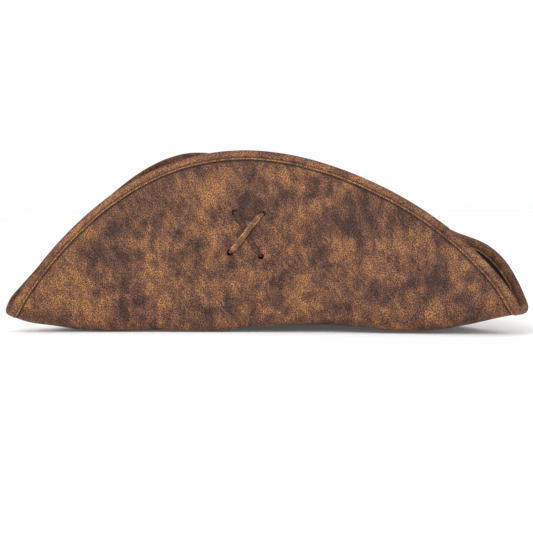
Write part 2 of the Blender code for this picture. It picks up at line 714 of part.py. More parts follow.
def lace_hole_cutter(name, side, collection):
    """Four rods along the hole axes, from outside the flap to inside the crown."""
    rods = bmesh.new()
    for corner in (LACE_LOW_FRONT, LACE_HIGH_BACK, LACE_HIGH_FRONT, LACE_LOW_BACK):
        hole = Hole(corner)
        first, last = -LACE_CUTTER_OUTSIDE, hole.depth + LACE_CUTTER_INSIDE
        centre = hole.middle + hole.way * (first + last) / 2
        made = bmesh.ops.create_cone(
            rods,
            cap_ends=True,
            segments=12,
            radius1=LACE_HOLE_RADIUS,
            radius2=LACE_HOLE_RADIUS,
            depth=last - first,
        )
        direction = Vector((side * hole.way[0], hole.way[1], hole.way[2]))
        place = Matrix.Translation((side * centre[0], centre[1], centre[2]))
        turn = direction.to_track_quat("Z", "Y").to_matrix().to_4x4()
        bmesh.ops.transform(rods, matrix=place @ turn, verts=made["verts"])
    cutter = new_object(name, rods, None, collection)
    cutter.hide_render = True
    cutter.display_type = "WIRE"
    return cutter


# --- The hat ----------------------------------------------------------------------------------------------


def materials():
    return {
        "suede": new_material("distressed_suede", (0.195, 0.095, 0.060), 0.62),
        "reverse": new_material("dark_reverse_cloth", (0.030, 0.021, 0.017), 0.75),
        "binding": new_material("binding_suede", (0.130, 0.062, 0.040), 0.60),
        "lace": new_material("lace_suede", (0.250, 0.125, 0.070), 0.65),
        "stiffener": new_material("stiffener_felt", (0.020, 0.018, 0.016), 0.90),
        "lining": new_material("lining_cloth", (0.012, 0.011, 0.010), 0.75),
        "sweatband": new_material("sweatband_cloth", (0.016, 0.013, 0.011), 0.80),
        "wire": new_material("wire_steel", (0.45, 0.45, 0.46), 0.35, 1.0),
        "thread": new_material("sewing_thread", (0.070, 0.034, 0.022), 0.70),
    }


def build_hat():
    clear_scene()
    hat = new_collection("pirate_hat")
    cutters = new_collection("cutters")
    paint = materials()
    holes = [
        lace_hole_cutter("left_lace_holes", 1, cutters),
        lace_hole_cutter("right_lace_holes", -1, cutters),
    ]
    punched = [
        brim_layer("brim_outer_cloth", paint["suede"], CLOTH, -CLOTH_OUTER_FACE, hat),
        brim_layer("brim_stiffener", paint["stiffener"], STIFFENER, -HALF_CORE, hat),
        brim_layer("brim_inner_cloth", paint["reverse"], CLOTH, CLOTH_INNER_FACE, hat),
    ]
    for layer in punched:
        for cutter in holes:
            cut(layer, cutter)
    brim_binding(paint["binding"], hat)
    brim_wire(paint["wire"], hat)
    wire_joiner(paint["wire"], hat)
    binding_thread("binding_thread_outer", -1, paint["thread"], hat)
    binding_thread("binding_thread_inner", 1, paint["thread"], hat)
    cut(crown_side("crown_side_left", 1, paint["suede"], hat), holes[0])
    cut(crown_side("crown_side_right", -1, paint["suede"], hat), holes[1])
    round_angles = np.linspace(0, 2 * pi, CROWN_COLUMNS, endpoint=False)
    backing = crown_shell(
        "crown_side_stiffener",
        paint["stiffener"],
        round_angles,
        SIDE_SHARES,
        STIFFENER,
        -(CLOTH + GAP + STIFFENER),
        hat,
        True,
    )
    for cutter in holes:
        cut(backing, cutter)
    tip_share = SIDE_SHARES[-1] + CROWN_TIP_SEAM_SHARE
    crown_top("crown_tip", paint["suede"], CLOTH, -CLOTH, tip_share, hat)
    tip_share = SIDE_SHARES[-1] + TIP_STIFFENER_SEAM_SHARE
    tip_offset = -(CLOTH + GAP + STIFFENER)
    crown_top("crown_tip_stiffener", paint["stiffener"], STIFFENER, tip_offset, tip_share, hat)
    lining_side(paint["lining"], hat)
    lining_tip(paint["lining"], hat)
    sweatband(paint["sweatband"], hat)
    sweatband_thread(paint["thread"], hat)
    lace("lace_left", 1, paint["lace"], hat)
    lace("lace_right", -1, paint["lace"], hat)


build_hat()
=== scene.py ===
"""Looks of the pirate hat: fine cloth, binding, stitches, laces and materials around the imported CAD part."""

from math import cos, pi, radians, sin

import bpy
import numpy as np
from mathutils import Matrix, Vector
from mathutils.kdtree import KDTree


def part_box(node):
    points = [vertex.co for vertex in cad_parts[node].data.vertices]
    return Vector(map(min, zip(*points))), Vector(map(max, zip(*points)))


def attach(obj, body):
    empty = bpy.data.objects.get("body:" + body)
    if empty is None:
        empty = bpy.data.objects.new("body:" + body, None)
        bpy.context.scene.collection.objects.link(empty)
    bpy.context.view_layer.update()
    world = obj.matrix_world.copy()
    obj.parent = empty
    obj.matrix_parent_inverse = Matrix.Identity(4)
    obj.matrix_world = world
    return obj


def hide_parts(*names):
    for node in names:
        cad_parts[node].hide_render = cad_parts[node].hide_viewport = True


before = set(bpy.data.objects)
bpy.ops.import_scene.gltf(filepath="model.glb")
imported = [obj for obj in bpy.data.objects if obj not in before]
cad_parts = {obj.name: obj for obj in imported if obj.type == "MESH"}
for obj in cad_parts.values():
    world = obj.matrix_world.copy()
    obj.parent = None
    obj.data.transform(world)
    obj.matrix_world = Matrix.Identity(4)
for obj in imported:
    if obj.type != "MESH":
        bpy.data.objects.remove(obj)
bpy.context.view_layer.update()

# --- Driving dimensions, in metres and degrees ---

EDGE_RADII = {0.0: 0.2459, 30.5: 0.2520, 61.0: 0.2486, 95.8: 0.2417, 130.6: 0.2423, 180.0: 0.2150}
# The edge dips in a little beside the back corners: where, how wide and how deep.
EDGE_DIP = {"angle": 156.0, "span": 11.0, "depth": 0.0073}
# A fold line of the flat brim: the angle from the front of the way out to it, its distance from the head's
# centre and its bow, how far the flap past it is bent up, how much further the flap leans in at LEAN_PLACE
# before and after the middle (going round counter-clockwise from above), the flap's curl over its height, and
# how fast the bend's radius grows away from the middle.
SIDE_FOLD = {"angle": 61.0, "distance": 0.097, "bow": 0.2103, "bend": 98.5,
             "lean_before": 2.84, "lean_after": 9.04, "curl": -0.796, "easing": 0.224}
BACK_FOLD = {"angle": 180.0, "distance": 0.1242, "bow": 0.416, "bend": 77.7,
             "lean_before": 0.55, "lean_after": 0.55, "curl": 0.0, "easing": 0.0117}
FOLD_RADIUS = 0.006
LEAN_PLACE = 0.15
BACK_CORNER_ANGLE = 130.6
CHANNEL_SAG, CHANNEL_START = 0.0057, 0.09
FRONT_TIP_RISE = 0.0033
BACK_TIP_RISE = 0.0139
EAR_LIFT, EAR_PLACE, EAR_SPAN = 0.005, 0.057, 0.030
TEMPLE_DROP, TEMPLE_PLACE, TEMPLE_SPAN = 0.0049, -0.044, 0.035

GAP = 0.00025
CLOTH = 0.0005
STIFFENER = 0.0006
HALF_CORE = STIFFENER / 2
LINING_CLOTH = 0.0003
SWEATBAND_CLOTH = 0.0008
WIRE_RADIUS, WIRE_INSET, WIRE_END_ANGLE = 0.0006, 0.0018, 0.0024
SLEEVE_RADIUS, SLEEVE_LENGTH = 0.00105, 0.016
CLOTH_EDGE_INSET = 0.0031
INNER_FACE = HALF_CORE + GAP
OUTER_FACE = INNER_FACE + CLOTH

CROWN_HALF_WIDTH, CROWN_HALF_LENGTH = 0.0850, 0.1020
CROWN_BASE, CROWN_WALL_HEIGHT, CROWN_WALL_LEAN = 0.0013, 0.065, 0.0034
SHOULDER_INSET, SHOULDER_RISE = 0.045, 0.042
CROWN_MEAN_RADIUS, SHOULDER_LENGTH, SEAM_GAP = 0.094, 0.068, 0.0003
SIDE_TOP_SHARE, TIP_FIRST_SHARE, TIP_CORE_FIRST_SHARE = 1.68, 1.692, 1.71
LINING_INSET = CLOTH + GAP + STIFFENER + GAP
SWEATBAND_INSET = LINING_INSET + LINING_CLOTH + GAP
SWEATBAND_HEIGHT = 0.031
LACE_ROOM, LINING_FOLDS = 0.0038, 0.0035

LACE_CENTRE = (-0.0141, 0.0807)
# The holes at low front, high back, high front and low back, along and up from the centre.
LACE_CORNERS = ((-0.0143, -0.0156), (0.0133, 0.0167), (-0.0112, 0.0183), (0.0123, -0.0195))
LACE_WIDTH, LACE_THICKNESS = 0.0046, 0.0010
LACE_NECK_WIDTH, LACE_NECK_THICKNESS = 0.0025, 0.0012
LACE_HOLE_RADIUS = 0.0025
LACE_TAIL = 0.011
LACE_INSIDE_CLEARANCE = 0.0016

STITCH_PITCH, STITCH_RADIUS, STITCH_SHARE = 0.0033, 0.0002, 0.8
POINTS_PER_STITCH = 10
BINDING_STITCH_INSET, STITCH_HEIGHT, EDGE_LENGTH = 0.0066, 0.00152, 1.46

BRIM_COLUMNS, BRIM_ROWS = 480, 68
BINDING_COLUMNS = 1440
CROWN_COLUMNS, TIP_BORDER_ROWS = 300, 14
FLOOR_HALF = 6.0

# The CAD crown gives the place of the head's centre and the height of the brim's middle surface.
CROWN_LOW, CROWN_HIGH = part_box("crown_side_left")
OFFSET = np.array([0.0, (CROWN_LOW[1] + CROWN_HIGH[1]) / 2, CROWN_LOW[2] - CROWN_BASE])
UP = np.array([0.0, 0.0, 1.0])
ALL_ROUND = np.linspace(-pi, pi, CROWN_COLUMNS, endpoint=False)
SIDE_SHARES = np.concatenate([np.linspace(0, 1, 24), np.linspace(1, SIDE_TOP_SHARE, 33)[1:]])


# --- The brim's surface ---


def unit(vectors):
    return vectors / np.linalg.norm(vectors, axis=-1, keepdims=True)


def polar(angle, radius, height):
    """Points by their angle, which is 0 at the front and grows counter-clockwise seen from above."""
    return np.stack(np.broadcast_arrays(radius * np.sin(angle), -radius * np.cos(angle), height), -1)


def smooth_step(value):
    value = np.clip(value, 0.0, 1.0)
    return value * value * (3 - 2 * value)


def soft_noise(x, y, cell, seed):
    """Smooth lumps of about one cell's size, from -1 to 1."""
    size = 128
    values = np.random.default_rng(seed).uniform(-1, 1, (size, size))
    u, v = x / cell, y / cell
    i, j = np.floor(u).astype(int), np.floor(v).astype(int)
    a, b = smooth_step(u - i), smooth_step(v - j)
    i, j = i % size, j % size
    k, m = (i + 1) % size, (j + 1) % size
    low = values[i, j] * (1 - a) + values[k, j] * a
    high = values[i, m] * (1 - a) + values[k, m] * a
    return low * (1 - b) + high * b


def edge_series():
    """Cosine terms whose sum has the radii of EDGE_RADII at their angles."""
    angles = np.radians(list(EDGE_RADII))
    terms = np.stack([np.cos(n * angles) for n in range(len(angles))], 1)
    return np.linalg.solve(terms, list(EDGE_RADII.values()))


EDGE_SERIES = edge_series()


def edge_radius(angle):
    """Distance of the flat brim's edge from the head's centre."""
    dip = (np.degrees(np.abs(angle)) - EDGE_DIP["angle"]) / EDGE_DIP["span"]
    full = sum(term * np.cos(n * angle) for n, term in enumerate(EDGE_SERIES))
    return full - EDGE_DIP["depth"] * np.exp(-(dip**2))


def place_past(fold, side, flat_x, flat_y):
    """Distances along a fold from its middle and out past it."""
    angle = radians(fold["angle"]) * side
    along = flat_x * cos(angle) + flat_y * sin(angle)
    return along, flat_x * sin(angle) - flat_y * cos(angle) - fold["distance"] - fold["bow"] * along**2


def turn_up(points, flat_x, flat_y, fold, side):
    """Rolls the part beyond one fold line round the fold's radius and stands it up."""
    along, past = place_past(fold, side, flat_x, flat_y)
    before, after = np.maximum(-along, 0) / LEAN_PLACE, np.maximum(along, 0) / LEAN_PLACE
    bend = np.radians(fold["bend"] + fold["lean_before"] * before**2 + fold["lean_after"] * after**2)
    radius = FOLD_RADIUS + fold["easing"] * along**2
    past = np.maximum(past, 0.0)
    straight = np.maximum(past - radius * bend, 0.0)
    turned = np.minimum(past / radius, bend)
    reach = radius * np.sin(turned) + straight * np.cos(bend) + fold["curl"] * straight**2
    rise = radius * (1 - np.cos(turned)) + straight * np.sin(bend)
    points += polar(radians(fold["angle"]) * side, reach - past, rise)


def bump(value, centre, below, above):
    """A rounded hump of height 1 at its centre, with a spread for each side."""
    spread = np.where(value < centre, below, above)
    return np.exp(-(((value - centre) / spread) ** 2))


def side_waves(flat_x, flat_y):
    """Height of the soft waves along the side folds, the same on left and right."""
    angle = radians(SIDE_FOLD["angle"])
    mirrored = np.abs(flat_x)
    along = mirrored * cos(angle) + flat_y * sin(angle)
    past = mirrored * sin(angle) - flat_y * cos(angle) - SIDE_FOLD["distance"]
    near_fold = bump(past, 0.006, 0.008, 0.030)
    ear = EAR_LIFT * bump(along, EAR_PLACE, EAR_SPAN, EAR_SPAN)
    temple = TEMPLE_DROP * bump(along, TEMPLE_PLACE, TEMPLE_SPAN, TEMPLE_SPAN)
    return (ear - temple) * near_fold


def channel_waves(flat_x, flat_y):
    """Height of the three channels that run out to the corners: each sags, then rises to its tip."""
    angle = np.abs(np.arctan2(flat_x, -flat_y))
    corner = radians(BACK_CORNER_ANGLE)
    ahead = np.cos(pi * angle / corner) ** 2
    behind = np.sin(pi / 2 * (pi - angle) / (pi - corner)) ** 2
    weight = np.where(angle < corner, ahead, behind)
    rise = np.where(angle < corner / 2, FRONT_TIP_RISE, BACK_TIP_RISE)
    radius = np.hypot(flat_x, flat_y)
    out = np.clip((radius - CHANNEL_START) / (edge_radius(angle) - CHANNEL_START), 0, 1)
    sag = CHANNEL_SAG * np.sin(pi * np.clip(out * 1.1, 0, 1)) ** 2
    return weight * (rise * out**3 - sag)


def brim_middle(angle, radius):
    """The brim's middle surface, folded, at polar places of the flat brim."""
    points = polar(np.asarray(angle, float), np.asarray(radius, float), 0.0)
    flat_x, flat_y = points[..., 0].copy(), points[..., 1].copy()
    for fold, side in ((SIDE_FOLD, 1), (SIDE_FOLD, -1), (BACK_FOLD, 1)):
        turn_up(points, flat_x, flat_y, fold, side)
    points[..., 2] += side_waves(flat_x, flat_y) + channel_waves(flat_x, flat_y)
    return points + OFFSET


def brim_lumps(angle, radius):
    """How far the whole brim stands off its smooth surface: soft lumps, none at the crown."""
    flat_x, flat_y = radius * np.sin(angle), -radius * np.cos(angle)
    lumps = 0.00040 * soft_noise(flat_x, flat_y, 0.034, 11) + 0.00016 * soft_noise(flat_x, flat_y, 0.013, 12)
    return lumps * smooth_step((radius - crown_radius(angle)) / 0.020)


def brim_point(angle, radius, lift=0.0):
    """A point off the middle surface: lift is positive towards the crown and negative towards the outside."""
    step = 1e-4
    outward = brim_middle(angle, radius + step) - brim_middle(angle, radius - step)
    around = brim_middle(angle + step, radius) - brim_middle(angle - step, radius)
    off = lift + brim_lumps(angle, radius)
    return brim_middle(angle, radius) + unit(np.cross(outward, around)) * off[..., None]


def flap_place(along, up):
    """Polar place on the left side flap, from the distances along and past its fold."""
    angle = radians(SIDE_FOLD["angle"])
    out = SIDE_FOLD["distance"] + SIDE_FOLD["bow"] * along**2 + up
    flat_x = out * sin(angle) + along * cos(angle)
    flat_y = -out * cos(angle) + along * sin(angle)
    return np.arctan2(flat_x, -flat_y), np.hypot(flat_x, flat_y)


def crown_radius(angle, inset=0.0):
    """The oval of the crown's base, drawn in by the inset."""
    width, length = CROWN_HALF_WIDTH - inset, CROWN_HALF_LENGTH - inset
    return width * length / np.hypot(width * np.cos(angle), length * np.sin(angle))


def evenly_bent(path, count, length_step, turn_step):
    """Fractions along a path that share out its length and its bending."""
    steps = np.diff(path, axis=0)
    lengths = np.linalg.norm(steps, axis=1)
    turns = np.linalg.norm(np.diff(steps / lengths[:, None], axis=0), axis=1)
    turns = np.concatenate([turns[:1], turns])
    load = np.concatenate([[0], np.cumsum(lengths / length_step + turns / turn_step)])
    return np.interp(np.linspace(0, load[-1], count), load, np.linspace(0, 1, len(load)))


def round_columns(count):
    """Angles all round, closer together where the edge and the folds bend."""
    half = np.linspace(0, pi, 1441)
    load = np.zeros(count // 2 + 1)
    for share in (0.5, 0.9, 1.0):
        path = brim_middle(half, 0.1 + share * (edge_radius(half) - 0.1))
        load = load + evenly_bent(path, len(load), 0.020, 0.30) / 3
    half = load * pi
    return np.concatenate([half, -half[-2:0:-1]])


# --- Meshes ---


def quads(rows, columns, closed_rows, closed_columns):
    """Faces of a grid of points, each direction open or closed round."""
    i = np.arange(rows if closed_rows else rows - 1)[:, None]
    j = np.arange(columns if closed_columns else columns - 1)[None, :]
    next_i, next_j = (i + 1) % rows, (j + 1) % columns
    faces = [i * columns + j, i * columns + next_j, next_i * columns + next_j, next_i * columns + j]
    return np.stack(np.broadcast_arrays(*faces), -1).reshape(-1, 4)


def cap(ring):
    """Faces that close a ring with an even number of points."""
    low = np.arange(len(ring) // 2 - 1)
    high = len(ring) - 1 - low
    return np.stack([ring[low], ring[low + 1], ring[high - 1], ring[high]], -1)


def outward_facing(points, faces):
    """The faces, turned round if they enclose a negative volume."""
    a, b, c, d = (points[faces[:, k]] for k in range(4))
    volume = (a * np.cross(b, c)).sum() + (a * np.cross(c, d)).sum()
    return faces if volume > 0 else faces[:, ::-1]


def store(mesh, key, values):
    """Keeps values on the points of a mesh, three for each point as a vector or one as a number."""
    vector = values.size == 3 * len(mesh.vertices)
    layer = mesh.attributes.new(key, "FLOAT_VECTOR" if vector else "FLOAT", "POINT")
    layer.data.foreach_set("vector" if vector else "value", values.astype(np.float32).ravel())


def mesh_object(name, points, faces, material, attributes, sharp=50.0):
    mesh = bpy.data.meshes.new(name)
    mesh.from_pydata(points.tolist(), [], faces.tolist())
    for key, values in attributes.items():
        store(mesh, key, values)
    mesh.shade_smooth()
    mesh.set_sharp_from_angle(angle=radians(sharp))
    mesh.materials.append(material)
    made = bpy.data.objects.new(name, mesh)
    bpy.context.scene.collection.objects.link(made)
    return made


def tube_object(name, rings, material, attributes, closed=True, sharp=50.0):
    """A closed skin through rings, an array (points round, stations, 3); open ends are capped."""
    around, stations = rings.shape[:2]
    points = rings.reshape(-1, 3)
    faces = quads(around, stations, True, closed)
    if not closed:
        first = np.arange(around) * stations
        faces = np.concatenate([faces, cap(first), cap(first + stations - 1)[:, ::-1]])
    return mesh_object(name, points, outward_facing(points, faces), material, attributes, sharp)


def shell_object(name, front, back, material, attributes, closed=True, sharp=50.0):
    """A thin sheet between its two faces, each an array (rows, columns, 3)."""
    rings = np.concatenate([front, back[::-1]])
    doubled = {key: np.concatenate([values, values[::-1]]) for key, values in attributes.items()}
    return tube_object(name, rings, material, doubled, closed, sharp)


def dressed(piece, slot_name, *nodes):
    """Puts a finished piece on the part in place of its CAD nodes."""
    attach(piece, "root")
    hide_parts(*nodes)
    return piece


def punch(piece, cutters):
    """Cuts the lace holes, and gives the cut edge the attributes of the nearest cloth."""
    mesh = piece.data
    tree = KDTree(len(mesh.vertices))
    for index, vertex in enumerate(mesh.vertices):
        tree.insert(vertex.co, index)
    tree.balance()
    kept = {}
    for key, field, size in (("flat", "vector", 3), ("tone", "value", 1)):
        values = np.zeros(len(mesh.vertices) * size, np.float32)
        mesh.attributes[key].data.foreach_get(field, values)
        kept[key] = values.reshape(-1, size)
    for cutter in cutters:
        hole = piece.modifiers.new("holes", "BOOLEAN")
        hole.operation = "DIFFERENCE"
        hole.solver = "EXACT"
        hole.object = cutter
    graph = bpy.context.evaluated_depsgraph_get()
    cut = bpy.data.meshes.new_from_object(piece.evaluated_get(graph))
    piece.modifiers.clear()
    piece.data = cut
    nearest = [tree.find(vertex.co)[1] for vertex in cut.vertices]
    for key, values in kept.items():
        cut.attributes.remove(cut.attributes[key])
        store(cut, key, values[nearest])


# --- Materials ---


class Surface:
    """A Principled material and short ways to add nodes to it."""

    def __init__(self, name, roughness, sheen=0.0, metallic=0.0, specular=0.5):
        self.material = bpy.data.materials.new(name)
        self.material.use_nodes = True
        self.tree = self.material.node_tree
        self.shader = self.tree.nodes["Principled BSDF"]
        self.shader.inputs["Roughness"].default_value = roughness
        self.shader.inputs["Metallic"].default_value = metallic
        self.shader.inputs["Specular IOR Level"].default_value = specular
        self.shader.inputs["Sheen Weight"].default_value = sheen
        self.shader.inputs["Sheen Roughness"].default_value = 0.45

    def feed(self, socket, value):
        if isinstance(value, bpy.types.NodeSocket):
            self.tree.links.new(value, socket)
        elif socket.type == "RGBA":
            socket.default_value = (*value, 1.0) if len(value) == 3 else value
        else:
            socket.default_value = value

    def add(self, kind, inputs, **settings):
        node = self.tree.nodes.new("ShaderNode" + kind)
        for key, value in settings.items():
            setattr(node, key, value)
        for key, value in inputs.items():
            self.feed(node.inputs[key], value)
        return node

    def attribute(self, name, output):
        return self.add("Attribute", {}, attribute_name=name).outputs[output]

    def math(self, operation, one, other=0.0, clamp=False):
        return self.add("Math", {0: one, 1: other}, operation=operation, use_clamp=clamp).outputs[0]

    def noise(self, vector, scale, detail=2.0, roughness=0.5):
        inputs = {"Vector": vector, "Scale": scale, "Detail": detail, "Roughness": roughness}
        return self.add("TexNoise", inputs).outputs[0]

    def cell_edges(self, vector, scale):
        """Distance to the edges of a pattern of irregular cells."""
        inputs = {"Vector": vector, "Scale": scale}
        return self.add("TexVoronoi", inputs, feature="DISTANCE_TO_EDGE").outputs[0]

    def stretched(self, vector, angle, along, across):
        """Coordinates for a pattern drawn out along one direction, with features along x across in size."""
        inputs = {"Vector": vector, "Rotation": (0.0, 0.0, radians(angle)), "Scale": (along, across, 1.0)}
        return self.add("Mapping", inputs, vector_type="TEXTURE").outputs[0]

    def step(self, value, low, high):
        inputs = {"Value": value, "From Min": low, "From Max": high}
        return self.add("MapRange", inputs, interpolation_type="SMOOTHSTEP").outputs[0]

    def between(self, value, low, high, to_low, to_high):
        inputs = {"Value": value, "From Min": low, "From Max": high, "To Min": to_low, "To Max": to_high}
        return self.add("MapRange", inputs).outputs[0]

    def mix(self, share, one, other, mode="MIX"):
        inputs = {0: share, 6: one, 7: other}
        return self.add("Mix", inputs, data_type="RGBA", blend_type=mode).outputs[2]

    def ramp(self, value, *stops):
        """Colours by value, each stop a value and a colour, or a number for a grey."""
        node = self.add("ValToRGB", {0: value})
        elements = node.color_ramp.elements
        while len(elements) < len(stops):
            elements.new(0.5)
        for element, (place, _) in zip(elements, stops):
            element.position = place
        for element, (_, colour) in zip(elements, stops):
            colour = colour if isinstance(colour, tuple) else (colour,) * 3
            element.color = (*colour, 1.0)
        return node.outputs[0]

    def warped(self, vector, scale, amount):
        """The coordinates pushed about by noise, so that shapes lose their regular outlines."""
        node = self.add("TexNoise", {"Vector": vector, "Scale": scale, "Detail": 3.0})
        halves = {0: node.outputs[1], 1: (0.5, 0.5, 0.5)}
        shift = self.add("VectorMath", halves, operation="SUBTRACT").outputs[0]
        push = self.add("VectorMath", {0: shift, "Scale": amount}, operation="SCALE").outputs[0]
        return self.add("VectorMath", {0: vector, 1: push}, operation="ADD").outputs[0]

    def bump(self, height, distance, strength=1.0, normal=None):
        inputs = {"Height": height, "Distance": distance, "Strength": strength}
        if normal is not None:
            inputs["Normal"] = normal
        return self.add("Bump", inputs).outputs[0]

    def finish(self, colour, roughness=None, normal=None):
        self.feed(self.shader.inputs["Base Color"], colour)
        if roughness is not None:
            self.feed(self.shader.inputs["Roughness"], roughness)
        if normal is not None:
            self.feed(self.shader.inputs["Normal"], normal)
        return self.material


# Colours of the suede from its darkest clouds to its rubbed patches, and of the palest flecks.
SUEDE = (
    (0.040, 0.0180, 0.0140),
    (0.096, 0.0412, 0.0246),
    (0.148, 0.0640, 0.0320),
    (0.228, 0.1000, 0.0370),
    (0.360, 0.1980, 0.1150),
)
SLANTING_BRUSH, UPRIGHT_BRUSH = SIDE_FOLD["angle"] + 48.0, SIDE_FOLD["angle"] - 90.0


def speckled(surface, flat, colour, *stops):
    """The suede's fine grain, and the colour darkened and lightened by it."""
    grain = surface.noise(flat, 940.0, 2.0, 0.9)
    return grain, surface.mix(1.0, colour, surface.ramp(grain, *stops), "MULTIPLY")


def distressed_suede(name, tone_gain=0.20, cloud_gain=1.0, brightness=1.0):
    """Mottled faux suede: dark clouds, rubbed orange patches, brushed streaks, a fine speckled grain, and a
    painted shadow line along the binding's inner edge.
    """
    dark, brown, tan, orange, fleck = (tuple(brightness * channel for channel in colour) for colour in SUEDE)
    surface = Surface(name, 0.62, sheen=0.03, specular=0.22)
    flat = surface.attribute("flat", "Vector")
    loose = surface.warped(flat, 34.0, 0.016)
    clouds = surface.noise(loose, 24.0, 9.0, 0.66)
    patches = surface.noise(loose, 95.0, 6.0, 0.62)
    slanting = surface.noise(surface.stretched(loose, SLANTING_BRUSH, 0.018, 0.0022), 1.0, 4.0, 0.6)
    upright = surface.noise(surface.stretched(loose, UPRIGHT_BRUSH, 0.034, 0.0060), 1.0, 4.0, 0.6)
    streaks = surface.math("MULTIPLY", surface.math("ADD", slanting, upright), 0.5)
    # The 'tone' attribute holds random clouds on the brim and crown, and painted highlight and shade on the
    # binding.
    level = surface.math("ADD", surface.math("MULTIPLY", surface.attribute("tone", "Fac"), tone_gain), 0.5)
    for part, gain in ((clouds, cloud_gain), (patches, 0.80), (streaks, 1.10)):
        swing = surface.math("SUBTRACT", part, 0.5)
        level = surface.math("ADD", level, surface.math("MULTIPLY", swing, gain))
    colour = surface.ramp(level, (0.26, dark), (0.47, brown), (0.60, tan), (0.76, orange))
    grain, colour = speckled(surface, flat, colour, (0.38, 0.10), (0.5, 0.95), (0.61, 2.5))
    # Painted shadow: the 'seam' band just inside the binding is darkened to near black, as if the binding's
    # lip shaded the flap.
    binding_shadow = surface.math("MULTIPLY", surface.attribute("seam", "Fac"), 0.86)
    colour = surface.mix(binding_shadow, colour, (0.010, 0.005, 0.004))
    flecks = surface.step(surface.noise(flat, 1350.0, 2.0, 0.6), 0.60, 0.72)
    worn = surface.between(surface.noise(loose, 60.0, 5.0, 0.7), 0.35, 0.65, 0.15, 0.75)
    colour = surface.mix(surface.math("MULTIPLY", flecks, worn, True), colour, fleck)
    roughness = surface.between(patches, 0.3, 0.7, 0.70, 0.54)
    creases = surface.cell_edges(surface.warped(flat, 90.0, 0.006), 260.0)
    normal = surface.bump(grain, 0.00022)
    normal = surface.bump(surface.step(creases, 0.0, 0.25), 0.00010, 0.6, normal)
    normal = surface.bump(patches, 0.0010, 0.7, normal)
    return surface.finish(colour, roughness, normal)


def reverse_cloth(name):
    """The dark knitted backing with a short nap."""
    surface = Surface(name, 0.85, sheen=0.10, specular=0.2)
    flat = surface.attribute("flat", "Vector")
    nap = surface.noise(flat, 1500.0, 3.0, 0.7)
    clouds = surface.noise(flat, 30.0, 5.0, 0.6)
    colour = surface.ramp(clouds, (0.3, (0.006, 0.005, 0.0045)), (0.7, (0.017, 0.012, 0.010)))
    colour = surface.mix(1.0, colour, surface.ramp(nap, (0.3, 0.65), (0.7, 1.4)), "MULTIPLY")
    return surface.finish(colour, None, surface.bump(nap, 0.00018))


def plain_weave(name, dark, light, threads, roughness, sheen):
    """A woven cloth of crossed threads, with so many to the metre."""
    surface = Surface(name, roughness, sheen=sheen)
    flat = surface.attribute("flat", "Vector")
    separate = surface.add("SeparateXYZ", {0: flat})
    waves = [surface.math("SINE", surface.math("MULTIPLY", separate.outputs[axis], 2 * pi * threads))
             for axis in (0, 1)]
    weave = surface.between(surface.math("MULTIPLY", *waves), -1.0, 1.0, 0.0, 1.0)
    uneven = surface.noise(flat, 45.0, 4.0, 0.6)
    level = surface.math("ADD", surface.math("MULTIPLY", weave, 0.6), surface.math("MULTIPLY", uneven, 0.5))
    colour = surface.ramp(level, (0.25, dark), (0.85, light))
    return surface.finish(colour, None, surface.bump(weave, 0.00012))


def felt(name):
    surface = Surface(name, 0.92, sheen=0.1, specular=0.2)
    fibres = surface.noise(surface.add("TexCoord", {}).outputs["Object"], 900.0, 5.0, 0.8)
    colour = surface.ramp(fibres, (0.3, (0.012, 0.011, 0.010)), (0.7, (0.040, 0.036, 0.032)))
    return surface.finish(colour, None, surface.bump(fibres, 0.0002))


def brushed_wire(name):
    surface = Surface(name, 0.35, metallic=1.0)
    rub = surface.noise(surface.add("TexCoord", {}).outputs["Object"], 400.0, 4.0, 0.7)
    colour = surface.ramp(rub, (0.3, (0.34, 0.34, 0.35)), (0.7, (0.52, 0.52, 0.53)))
    return surface.finish(colour, surface.between(rub, 0.3, 0.7, 0.28, 0.45), surface.bump(rub, 0.00005))


def twisted_thread(name, dark, light):
    """Sewing thread: plies that run slantwise round it."""
    surface = Surface(name, 0.7, sheen=0.15)
    flat = surface.attribute("flat", "Vector")
    inputs = {"Vector": surface.stretched(flat, 30.0, 1.0, 1.0), "Scale": 900.0, "Distortion": 1.0}
    plies = surface.add("TexWave", inputs).outputs[1]
    fuzz = surface.noise(flat, 2500.0, 3.0, 0.7)
    level = surface.math("ADD", surface.math("MULTIPLY", plies, 0.6), surface.math("MULTIPLY", fuzz, 0.4))
    colour = surface.ramp(level, (0.2, dark), (0.8, light))
    return surface.finish(colour, None, surface.bump(plies, 0.00006))


def lace_suede(name, dark, brown, light):
    """A cut suede strip: mottled face, paler rubbed edges, and painted shade over the whole strand that lies
    under.
    """
    surface = Surface(name, 0.66, sheen=0.03, specular=0.25)
    flat = surface.attribute("flat", "Vector")
    # The 'seam' attribute marks the strand that lies under, which gets painted shade.
    under = surface.attribute("seam", "Fac")
    mottle = surface.noise(surface.warped(flat, 200.0, 0.003), 160.0, 5.0, 0.65)
    colour = surface.ramp(mottle, (0.32, dark), (0.50, brown), (0.68, light))
    # Painted shade: the under strand is darkened to about a third, a little towards blue.
    colour = surface.mix(under, colour, surface.mix(1.0, colour, (0.36, 0.36, 0.44), "MULTIPLY"))
    edge = surface.step(surface.attribute("tone", "Fac"), 0.74, 0.96)
    rubbed = surface.math("MULTIPLY", edge, surface.step(mottle, 0.25, 0.65), True)
    # Painted shade: on the under strand the rubbed edges turn near black instead of pale.
    colour = surface.mix(rubbed, colour, surface.mix(under, light, (0.012, 0.006, 0.005)))
    grain, colour = speckled(surface, flat, colour, (0.38, 0.25), (0.5, 1.0), (0.62, 1.9))
    return surface.finish(colour, None, surface.bump(grain, 0.0002))


# --- Brim ---

# Distances in from the edge of the extra rows that carry the painted shadow line along the binding, where its
# lip shades the flap.
SHADOW_ROW_INSETS = np.array([0.0112, 0.0104, 0.0099, 0.0095, 0.0092, 0.0089, 0.0086, 0.0083, 0.0079])
SHADOW_LINE_INSET = 0.0091

